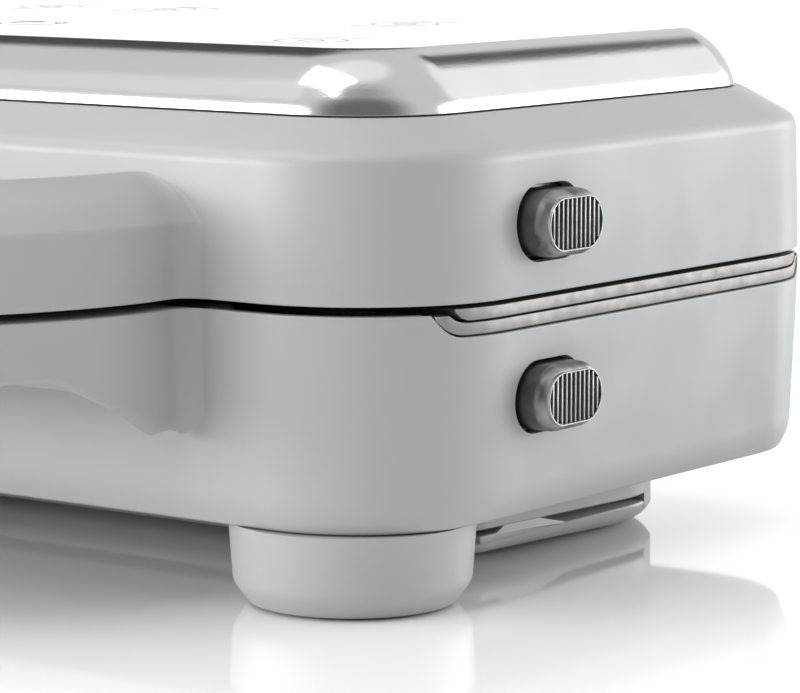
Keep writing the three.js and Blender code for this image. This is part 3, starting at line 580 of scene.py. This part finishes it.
def lower_grip_block():
    """The base's half of the handle. Its lower edge is rounded, most of all at the roots."""
    rings = [grip_ring(2.0, LOWER_TOP), grip_ring(0.5, LOWER_TOP), grip_ring(0.15, LOWER_TOP - 0.15)]
    rings.append(grip_ring(0, LOWER_TOP - 0.5))
    for k in range(9):
        a = math.pi / 2 * k / 8
        ring = []
        for x, reach in GRIP:
            ease = 1.2 + 5 * min(1, max(0, 1 - reach / 22))
            z = grip_bottom(reach) + ease * (1 - math.sin(a))
            ring.append(grip_point(x, reach, ease * (1 - math.cos(a)), z))
        rings.append(ring)
    vertices, faces = loft(rings, end_cap=False)
    count = len(rings[0])
    first = (len(rings) - 1) * count
    for i in range(count // 2):
        faces.append((first + i, first + i + 1, first + count - 2 - i, first + count - 1 - i))
    return vertices, [tuple(reversed(list(dict.fromkeys(f)))) for f in faces]


def hinge_loop(side):
    """A knuckle and its web, seen from the side. side is 1 for the lid and -1 for the base."""
    wall = HALF_DEPTH - 1.5
    ring = arc(HINGE_Y, HINGE_Z, HINGE_RADIUS, -100, 180, 40)
    if side < 0:
        return ring + [(wall, LOWER_TOP), (wall, WEB_FOOT)]
    loop = ring + [(wall, UPPER_BOTTOM - 1.7), (wall, WEB_FOOT)]
    return [(y, 2 * HINGE_Z - z) for y, z in reversed(loop)]


def button_pocket(casing, height, z):
    """Cuts the hole in the right-hand wall that a release button stands in."""
    cut(casing, slab(oblong(POCKET_WIDTH, height, BUTTON_Y, z), "x", HALF_WIDTH - 8, HALF_WIDTH + 5, 0.2))


def lock_room(grip, low_x, high_x, low_z, high_z):
    """Cuts room for the lock slider into the front of the grip."""
    cut(grip, slab(box_loop(low_x, high_x, low_z, high_z), "y", LOCK_FRONT, LOCK_REAR, 0.05))


def base_casing():
    levels = eased([
        (7.0, 5.2, 24, BOTTOM, 0), (4.6, 2.8, 26, BOTTOM, 0.9), (1.3, 1.3, 30.7, 19.8, 2.6),
        (0.4, 0.4, 31.6, 40, 0), (0, 0, CORNER, LOWER_TOP, 0.35), (WALL, WALL, CORNER - WALL, LOWER_TOP, 0.3),
        (3.0, 3.0, CORNER - 3, 40, 0), (3.9, 3.9, 28.1, 22.4, 0.4), (7.2, 5.4, 24, 18.2, 0),
    ])
    casing = mesh_object("base_casing", loft(casing_rings(levels, window_height)))
    button_pocket(casing, LOWER_POCKET_HEIGHT, LOWER_BUTTON_Z)
    for x in (-SCREW_X, SCREW_X):
        for y in (-SCREW_Y, SCREW_Y):
            cut(casing, spun([(3.4, BOTTOM - 1), (3.4, BOTTOM + 2)], x, y, 40))
    grip = mesh_object("base_grip", lower_grip_block())
    hollow = rectangle(HOLLOW_HALF_WIDTH, 24, HOLLOW_TOP, 4, 5.2, steps=16)
    cut(grip, slab(hollow, "y", -HALF_DEPTH - 80, -HALF_DEPTH + 0.6, 0.3))
    lock_room(grip, -0.8, LOCK_HALF_WIDTH, LOCK_FLOOR, LOWER_TOP + 2)
    lock_room(grip, -LOCK_HALF_WIDTH, 1, LOCK_FLOOR, 50.9)
    join(casing, grip)
    for x in (50, 70):
        absorb(casing, mirrored(slab(hinge_loop(-1), "x", x, x + 6, 0.5)))
    return finish_piece(casing, "base", CASING, ["lower_casing"])


def lid_casing():
    levels = eased([
        (13.4, 13.4, 20.5, SEAT - WALL, 0), (3.3, 3.3, 28.7, SHOULDER - 0.8, 0.8),
        (WALL, WALL, CORNER - WALL, UPPER_BOTTOM, 0.3), (0, 0, CORNER, UPPER_BOTTOM, 0.45),
        (0.7, 0.7, 31.3, SHOULDER, 2.0), (10.8, 10.8, 23, SEAT, 0.5), (13.6, 13.6, 20.4, SEAT, 0),
    ])
    casing = mesh_object("lid_casing", loft(casing_rings(levels, level_height)))
    cut(casing, slab(rectangle(92, -50, 50, 10), "z", SEAT - 5, SEAT + 5, 0.2))
    button_pocket(casing, UPPER_POCKET_HEIGHT, UPPER_BUTTON_Z)
    grip = mesh_object("lid_grip", upper_grip())
    lock_room(grip, -LOCK_HALF_WIDTH, LOCK_HALF_WIDTH, UPPER_BOTTOM - 2, 67.6)
    join(casing, grip)
    absorb(casing, mirrored(slab(hinge_loop(1), "x", 56.3, 69.7, 0.5)))
    return finish_piece(casing, "lid", CASING, ["upper_casing"])


def steel_cover():
    """The pressed cover: a steep skirt that leans in more and more, then a crisp fold to a level top."""
    def level(inset, z, ease):
        return (inset, inset, 34 - inset, z, ease)

    levels = eased([
        level(13.2, 88.45, 0), level(12.3, 88.45, 0.25), level(12.75, 90.8, 1.1), level(14.9, 94.9, 2.2),
        level(18.2, 98.2, 1.9), level(21.6, TOP, 0.8), level(26, TOP, 0),
    ])
    cover = mesh_object("steel_cover", loft(casing_rings(levels, level_height)))
    for x in (RED_X, GREEN_X):
        cut(cover, spun([(6.3, 96), (6.3, TOP + 2)], x, LENS_Y, 48))
    return finish_piece(cover, "lid", LINEN, ["top_cover"])


base_casing()
lid_casing()
steel_cover()

# ---------------------------------------------------------------- plates


def plate_slab(end, bottom, top):
    """A plate whose long edges follow the casing. bottom and top give its heights along Y."""
    outline = rectangle(HALF_WIDTH - 0.4, 0.4 - HALF_DEPTH, HALF_DEPTH - 0.4, CORNER - 0.4)
    side = [(x, y) for x, y in outline if x > 60 and abs(y) < end]
    side = [(side[0][0] - 0.01, -end)] + side + [(side[-1][0] - 0.01, end)]
    dense = []
    for (xa, ya), (xb, yb) in zip(side, side[1:]):
        steps = max(1, round(math.hypot(xb - xa, yb - ya) / 4))
        dense += [(xa + (xb - xa) * k / steps, ya + (yb - ya) * k / steps) for k in range(steps)]
    dense.append(side[-1])
    rows = []
    for x, y in dense:
        low, high = bottom(abs(y)), top(abs(y))
        ease = min(PLATE_EDGE, max(0.0, (high - low) / 2.2))
        half = [(x - ease, low), (x - ease * 0.3, low + ease * 0.3), (x, low + ease)]
        half += [(x, high - ease), (x - ease * 0.3, high - ease * 0.3), (x - ease, high)]
        rows.append([(px, y, z) for px, z in half] + [(-px, y, z) for px, z in reversed(half)])
    return loft(rows)


def lower_bottom(reach):
    return curve_height(reach, 56.1, LOWER_PLATE_END, 50.6, 54.3, 60.0)


def lower_top(reach):
    return curve_height(reach, 55.5, 59.2, LOWER_PLATE_FACE, 54.3, 58.0)


def upper_face(reach):
    return curve_height(reach, 55.0, UPPER_PLATE_END, UPPER_PLATE_FACE, PLATE_BACK, 57.4)


def upper_back(reach):
    return PLATE_BACK


def ring_hollow(x, y, face, side):
    """One ring cavity, opening at the face. side is -1 for one that goes down and 1 for one that goes up."""
    outer, post, depth = 27, 8.5, 12
    middle = (outer + post) / 2
    half = (outer - post) / 2
    profile = [(post + 0.6 - 1.4, face - side * 0.6), (post - 0.2, face)]
    for k in range(13):
        a = math.pi * k / 12
        bulge = math.copysign(abs(math.cos(a)) ** 0.72, math.cos(a))
        profile.append((middle - half * bulge, face + side * depth * math.sin(a) ** 0.8))
    profile += [(outer + 0.2, face), (outer + 0.8, face - side * 0.6)]
    rings = [[(x + r * c, y + r * s, z) for c, s in circle(0, 0, 1, 72)] for r, z in profile]
    vertices, faces = loft(rings + [rings[0]], start_cap=False, end_cap=False)
    return vertices, faces if side < 0 else [tuple(reversed(f)) for f in faces]


def donut_plate(name, body, end, bottom, top, face, side, node):
    """A plate with six coated ring cavities and a bare rim."""
    plate = mesh_object(name, plate_slab(end, bottom, top))
    for x in (-RING_X, 0, RING_X):
        for y in (-RING_Y, RING_Y):
            low, high = sorted((face - side * 0.4, face + side * 14))
            cup = [(24, low + 0.9), (28.6, low + 0.9), (28.6, high), (0.5, high)]
            cut(plate, spun(cup, x, y, 72), "UNION")
            cut(plate, ring_hollow(x, y, face, side))
    mesh = plate.data
    mesh.materials.clear()
    mesh.materials.append(RIM)
    mesh.materials.append(COATING)
    for polygon in mesh.polygons:
        inner = abs(polygon.center.x - MIDDLE.x) < 0.100 or abs(polygon.normal.z) > 0.8
        polygon.material_index = 1 if inner else 0
    return finish_piece(plate, body, RIM, [node])


donut_plate(
    "lower_plate", "base", LOWER_PLATE_END, lower_bottom, lower_top,
    LOWER_PLATE_FACE, -1, "lower_donut_plate",
)
donut_plate(
    "upper_plate", "lid", UPPER_PLATE_END, upper_face, upper_back,
    UPPER_PLATE_FACE, 1, "upper_donut_plate",
)

# ---------------------------------------------------------------- release buttons


def release_button(name, body, z, node):
    """A cap with a rounded edge and a ridged face, on a collar behind the wall."""
    width, height = 19.4, 12
    face = BUTTON_FACE
    loop = oblong(width, height, BUTTON_Y, z)
    rings = []
    for inset, back in [(0, 10.5), (0, 2.7), (0.12, 1.9), (0.45, 1.2), (0.95, 0.75), (1.2, 0.65)]:
        rings.append(on_axis(inset_loop(loop, inset), "x", face - back))
    body_of_cap = loft(rings)
    collar = slab(oblong(25, 13.2, BUTTON_Y, z), "x", 114.3, 116.3, 0.2)
    middle_z = LOWER_BUTTON_Z if z < SPLIT else 2 * SPLIT - LOWER_BUTTON_Z
    rod = slab(circle(BUTTON_Y, middle_z, 3, 32), "x", 102, 116, 0.2)
    turn = 1 if z < SPLIT else -1
    catch_arm = sorted((middle_z - turn * 3, SPLIT - turn * 4.2))
    arm = box_loop(BUTTON_Y - 4, BUTTON_Y + 4, *catch_arm)
    tip = sorted((SPLIT - turn * 6, SPLIT - turn * 4.2))
    hook = box_loop(BUTTON_Y - 4, BUTTON_Y + 4, *tip)
    catch = together(slab(arm, "x", 101.2, 103.7, 0.3), slab(hook, "x", 101.2, 108.3, 0.3))
    cap = mesh_object(name, together(body_of_cap, collar, rod, catch))
    cap.data.materials.append(BUTTON)
    cap.data.materials.append(BUTTON_EDGE)
    for polygon in cap.data.polygons:
        if polygon.center.x > MIDDLE.x + (face - 2.5) * MM:
            polygon.material_index = 1
    finish_piece(cap, body, BUTTON, [node])

    edge_outer = inset_loop(loop, 1.15)
    edge_inner = inset_loop(loop, 1.42)
    rim = loft([
        on_axis(edge_outer, "x", face - 0.9), on_axis(edge_outer, "x", face - 0.3),
        on_axis(inset_loop(loop, 1.22), "x", face - 0.1), on_axis(edge_inner, "x", face - 0.1),
        on_axis(edge_inner, "x", face - 0.9),
    ], start_cap=False, end_cap=False)
    ridges = [rim]
    pitch = 1.42
    for k in range(-5, 6):
        y = BUTTON_Y + k * pitch
        reach = width / 2 - 1.5 - (height / 2 - 1.5)
        beyond = max(0.0, abs(k * pitch) - reach)
        half = math.sqrt(max(0.2, (height / 2 - 1.5) ** 2 - beyond ** 2))
        bar = box_loop(y - 0.19, y + 0.19, z - half, z + half)
        ridges.append(slab(bar, "x", face - 0.9, face - 0.15, 0.1, 2))
    ridged = mesh_object(name + "_ridges", together(*ridges))
    finish_piece(ridged, body, RIDGE)
    groove_floor = slab(inset_loop(loop, 1.3), "x", face - 1, face - 0.6, 0.05, 1)
    backing = mesh_object(name + "_grooves", groove_floor)
    finish_piece(backing, body, FRAME_BLACK)


release_button("lower_button_cap", "lower_button", LOWER_BUTTON_Z, "lower_release_button")
release_button("upper_button_cap", "upper_button", UPPER_BUTTON_Z, "upper_release_button")

# ---------------------------------------------------------------- feet and cord wrap


def front_foot(name, x, node):
    profile = eased([
        (0.5, 0.4, 0), (18.9, 0.4, 0.5), (21.7, 4.2, 1.2), (22.5, 15.4, 0), (0.5, 15.4, 0),
    ])
    foot = mesh_object(name, spun(profile, x, FOOT_Y, 128))
    seat = FRONT_PAD_RADIUS + PAD_PLAY
    cut(foot, spun([(seat, -1), (seat, 2)], x, FOOT_Y, 64))
    return finish_piece(foot, "base", CASING, [node])


front_foot("right_foot", FOOT_X, "front_right_foot")
front_foot("left_foot", -FOOT_X, "front_left_foot")


def pad(name, radius, x, y, node):
    """A rubber pad with a rounded edge and two shallow rings underneath."""
    profile = eased([
        (0.3, 0.35, 0), (radius * 0.35, 0.35, 0.2), (radius * 0.4, 0, 0.2), (radius * 0.7, 0, 0.2),
        (radius * 0.75, 0.35, 0.2), (radius * 0.8, 0, 0.2), (radius, 0, 0.4), (radius, 1.7, 0), (0.3, 1.7, 0),
    ], 4)
    return finish_piece(mesh_object(name, spun(profile, x, y, 80)), "base", RUBBER, [node])


pad("right_pad", FRONT_PAD_RADIUS, FOOT_X, FOOT_Y, "front_right_pad")
pad("left_pad", FRONT_PAD_RADIUS, -FOOT_X, FOOT_Y, "front_left_pad")
pad("right_rear_pad", REAR_PAD_RADIUS, REAR_PAD_X, REAR_PAD_Y, "rear_right_pad")
pad("left_rear_pad", REAR_PAD_RADIUS, -REAR_PAD_X, REAR_PAD_Y, "rear_left_pad")


def wrap_loop(inset):
    """The wrap's outline, moved inwards."""
    return rectangle(WRAP_HALF_WIDTH - inset, WRAP_FRONT + inset, WRAP_REAR - inset, 10, 28 - inset, steps=24)


def wrap_lip():
    """The spool's lower lip, with a well rounded lower edge. It rises a little towards the front."""
    rings = []
    for k in range(8):
        a = math.pi / 2 * k / 7
        rings.append((6.5 * (1 - math.sin(a)), 0.4 + 4.1 * (1 - math.cos(a))))
    rings += [(0.2, 4.9), (0.6, 5.1)]
    lifted = []
    for inset, z in rings:
        rise = 2.2 * (5.1 - z) / 4.7
        lifted.append([(x, y, z + rise * min(1, max(0, (27 - y) / 55))) for x, y in wrap_loop(inset)])
    return loft(lifted)


def cord_wrap():
    """A flat spool under the rear: a lip, a core and a beaded flange. The rear is closed."""
    core = slab(wrap_loop(8), "z", 4.6, 10, 0.2, 2)
    flange = slab(wrap_loop(0), "z", 9.3, 15.3, 0.5, 4)
    outer = [wrap_loop(0.3), wrap_loop(0), wrap_loop(0), wrap_loop(1.6), wrap_loop(1.6), wrap_loop(1.3)]
    heights = [7.5, 7.8, 9.9, 9.9, 7.8, 7.5]
    bead_rings = []
    for loop, z in zip(outer + outer[:1], heights + heights[:1]):
        bead_rings.append([(x, y, z - 1.1 * min(1, max(0, y / 25)) * (z < 8)) for x, y in loop])
    bead = loft(bead_rings, start_cap=False, end_cap=False)
    closed = [point for point in wrap_loop(0) if point[1] > 39.8]
    rear = slab(closed, "z", 3.4, 15.2, 0.3, 2)
    wrap = mesh_object("cord_wrap", together(wrap_lip(), core, flange, bead, rear))
    cut(wrap, slab(box_loop(-60, 60, 40, 70), "z", -1, 9, 0.2, 2), use_self=True)
    seat = REAR_PAD_RADIUS + PAD_PLAY
    for x in (-REAR_PAD_X, REAR_PAD_X):
        cut(wrap, spun([(seat, -1), (seat, 2)], x, REAR_PAD_Y, 48), use_self=True)
    clip = [(-17, 4.6), (12.8, 4.6), (12.8, 4.9), (0.5, 7.7), (-8.5, 7.7), (-11.5, 6.3), (-17, 6.3)]
    absorb(wrap, mirrored(slab(clip, "x", 89.5, 93.7, 0.25, 3)))
    return finish_piece(wrap, "base", CASING, ["cord_wrap_foot"])


cord_wrap()

# ---------------------------------------------------------------- small pieces


def hinge_pin(name, x, node):
    loop = circle(HINGE_Y, HINGE_Z, 2, 40)
    pin = mesh_object(name, slab(loop, "x", x - 13.5, x + 13.5, 0.4, 4))
    return finish_piece(pin, "base", SCREW, [node])


hinge_pin("left_pin", -HINGE_X, "hinge_pin_left")
hinge_pin("right_pin", HINGE_X, "hinge_pin_right")


def lock_slider():
    """The slide in the grip, with finger ribs and a toe below."""
    front = -HALF_DEPTH - 53

    def block(x0, x1, z0, z1, y0, y1, ease):
        return slab(box_loop(-x1, -x0, z0, z1), "y", y0, y1, ease)

    parts = [
        block(-14, 6, 57.4, 67.1, front + 0.9, front + 5.5, 0.6),
        block(-14, -9, 48.4, 58, front + 1.2, front + 5.5, 0.3),
        block(-14, -1.5, 47.2, 50.4, front + 1.2, front + 5.5, 0.3),
    ]
    parts += [block(x - 0.6, x + 0.6, 59.5, 65.5, front - 0.6, front + 2, 0.35) for x in (-10, -7, -4, -1, 2)]
    slider = mesh_object("lock_slide", together(*parts))
    return finish_piece(slider, "lock", BUTTON, ["handle_lock_slider"])


lock_slider()


def inlet_bush():
    """The ribbed rubber bush where the mains lead would pass."""
    profile = eased([
        (3.8, 70, 0), (6, 70, 0.3), (6, 78.1, 0.2), (9, 78.1, 0.4), (8.6, 80, 0.3), (8.1, 80.3, 0.2),
        (8.3, 82.5, 0.5), (3.8, 82.5, 0.4), (3.8, 70, 0),
    ], 4)
    rings = [[(-40 + r * c, y, 33 + r * s) for c, s in circle(0, 0, 1, 64)] for r, y in profile]
    vertices, faces = loft(rings, start_cap=False, end_cap=False)
    bush = mesh_object("inlet_bush", (vertices, [tuple(reversed(f)) for f in faces]))
    return finish_piece(bush, "base", RUBBER, ["cord_inlet_bush"])


inlet_bush()


def signal_lens(name, x, finish, node):
    profile = eased([(0.2, 97.2, 0), (6, 97.2, 0.2), (6, 99.6, 0.3), (4.4, 99.9, 0.6), (0.2, 99.93, 0)])
    return finish_piece(mesh_object(name, spun(profile, x, LENS_Y, 64)), "lid", finish, [node])


signal_lens("red_lens", RED_X, RED, "power_lens")
signal_lens("green_lens", GREEN_X, GREEN, "ready_lens")


def printed(name, loops):
    """Thin printed lines on the cover. A loop is (outer points, inner points)."""
    parts = []
    for outer, inner in loops:
        rings = [[(x, y, TOP - 0.1) for x, y in outer], [(x, y, TOP + 0.025) for x, y in outer]]
        rings += [[(x, y, TOP + 0.025) for x, y in inner], [(x, y, TOP - 0.1) for x, y in inner]]
        parts.append(loft(rings, start_cap=False, end_cap=False))
    return finish_piece(mesh_object(name, together(*parts)), "lid", INK)


def circle_line(x, y, radius):
    width = 0.5
    return circle(x, y, radius, 64), circle(x, y, radius - width, 64)


def bar_line(x, y, length):
    width = 0.6
    loop = rectangle(length / 2, -width / 2, width / 2, width / 2.2, steps=6)
    return [(x + a, y + b) for a, b in loop], [(x + a * 0.02, y + b * 0.02) for a, b in loop]


lamp_border = [(x - 27.8, y - 17) for x, y in rectangle(17.3, -7, 7, 6.9, steps=24)]
printed("lamp_border", [(lamp_border, [tuple(p) for p in inset_loop(lamp_border, 0.6)])])
for number, (x, y) in enumerate([(70, -38), (46, 24), (-37, 48), (-66, 43)]):
    lines = [circle_line(x, y, 7), circle_line(x, y, 2.6)]
    lines += [bar_line(x, y - 11, 12), bar_line(x, y + 11, 12)]
    printed("pictogram_%d" % (number + 1), lines)

# ---------------------------------------------------------------- finishes of the inner parts

FINISHES = {
    "lower_inner_frame": FRAME_BLACK, "upper_inner_frame": FRAME_BLACK, "lens_holder": FRAME_BLACK,
    "lower_heat_tray": SHEET, "upper_heat_tray": SHEET,
    "lower_plate_hook": SHEET, "upper_plate_hook": SHEET,
    "lower_button_guide": SHEET, "upper_button_guide": SHEET,
    "lower_heating_element": SHEATH, "upper_heating_element": SHEATH,
    "lower_button_spring": SCREW, "upper_button_spring": SCREW,
    "lower_thermostat": CERAMIC, "upper_thermostat": CERAMIC,
    "thermal_fuse": CERAMIC, "mains_terminal_block": CERAMIC,
}
for number in range(1, 5):
    FINISHES["base_screw_%d" % number] = SCREW
    FINISHES["lid_screw_%d" % number] = SCREW
for node, finish in FINISHES.items():
    for material_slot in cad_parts[node].material_slots:
        material_slot.material = finish

# ---------------------------------------------------------------- floor, light and camera


def floor():
    """A broad white table top with a polished surface."""
    mesh = bpy.data.meshes.new("table_top")
    half = 6.0
    mesh.from_pydata(on_axis(box_loop(-half, half, -half, half), "z", 0), [], [(0, 1, 2, 3)])
    made = bpy.data.objects.new("table_top", mesh)
    bpy.context.scene.collection.objects.link(made)
    n = Nodes("table_white")
    n.colour(n.noise(2, 2.0), (0.91, 0.91, 0.912), (0.93, 0.93, 0.932))
    n.rough(n.noise(5, 2.0), 0.05, 0.07)
    n.fixed(IOR=1.5)
    mesh.materials.append(n.material)


def softbox(name, position, target, size, power):
    data = bpy.data.lights.new(name, "AREA")
    data.shape = "RECTANGLE"
    data.size, data.size_y = size
    data.energy = power
    made = bpy.data.objects.new(name, data)
    bpy.context.scene.collection.objects.link(made)
    made.location = position
    made.rotation_euler = (Vector(target) - Vector(position)).to_track_quat("-Z", "Y").to_euler()


def surroundings():
    """A pale studio: white all round, with a few darker gaps and brighter patches."""
    world = bpy.data.worlds.new("studio")
    bpy.context.scene.world = world
    world.use_nodes = True
    tree = world.node_tree
    background = tree.nodes["Background"]
    direction = tree.nodes.new("ShaderNodeTexCoord").outputs["Generated"]

    def patch(x, y, z, inner, outer, strength):
        """A patch in a direction, full within its inner angle and gone beyond its outer one."""
        aim = Vector((x, y, z)).normalized()
        dot = tree.nodes.new("ShaderNodeVectorMath")
        dot.operation = "DOT_PRODUCT"
        dot.inputs[1].default_value = aim
        tree.links.new(direction, dot.inputs[0])
        ramp = tree.nodes.new("ShaderNodeMapRange")
        ramp.interpolation_type = "SMOOTHSTEP"
        ramp.inputs["From Min"].default_value = math.cos(math.radians(outer))
        ramp.inputs["From Max"].default_value = math.cos(math.radians(inner))
        ramp.inputs["To Min"].default_value = 1
        ramp.inputs["To Max"].default_value = strength
        tree.links.new(dot.outputs["Value"], ramp.inputs["Value"])
        return ramp.outputs["Result"]

    patches = [
        patch(-0.60, 0.55, 0.60, 13, 24, 0.1),
        patch(-0.04, 0.80, 0.60, 5, 9.5, 0.1),
        patch(-0.59, 0.80, 0.05, 12, 20, 1.5),
        patch(0.27, 0.80, 0.50, 13, 19, 1.5),
        patch(-0.59, -0.52, 0.62, 5, 13, 1.25),
        patch(0.05, -0.10, 1.00, 14, 24, 1.4),
        patch(0.60, -0.77, 0.18, 22, 58, 0.24),
    ]
    product = patches[0]
    for other in patches[1:]:
        node = tree.nodes.new("ShaderNodeMath")
        node.operation = "MULTIPLY"
        tree.links.new(product, node.inputs[0])
        tree.links.new(other, node.inputs[1])
        product = node.outputs["Value"]
    tree.links.new(product, background.inputs["Strength"])
    background.inputs["Color"].default_value = (1, 1, 1, 1)


CAMERA_PLACE = Vector((MIDDLE.x + 0.4934, MIDDLE.y - 0.5864, 0.1356))
CAMERA_AIM = Vector((-0.5870, 0.7986, -0.1326))
CAMERA_LENS = 168.5

floor()
surroundings()
softbox("left_box", (-1.34, -1.48, 0.42), (0, 0, 0.05), (2.0, 0.4), 34)
softbox("top_box", (-0.25, -0.75, 1.5), (-0.1, -0.35, 0), (1.2, 0.7), 6)
softbox("right_box", (1.14, 1.64, 0.35), (0, 0, 0.05), (2.0, 0.6), 20)

bpy.context.scene.view_settings.view_transform = "Standard"
camera = bpy.data.objects.new("camera", bpy.data.cameras.new("camera"))
bpy.context.scene.collection.objects.link(camera)
camera.data.lens = CAMERA_LENS
camera.data.sensor_width = 36
camera.data.sensor_fit = "HORIZONTAL"
camera.location = CAMERA_PLACE
camera.rotation_euler = CAMERA_AIM.to_track_quat("-Z", "Y").to_euler()
bpy.context.scene.camera = camera
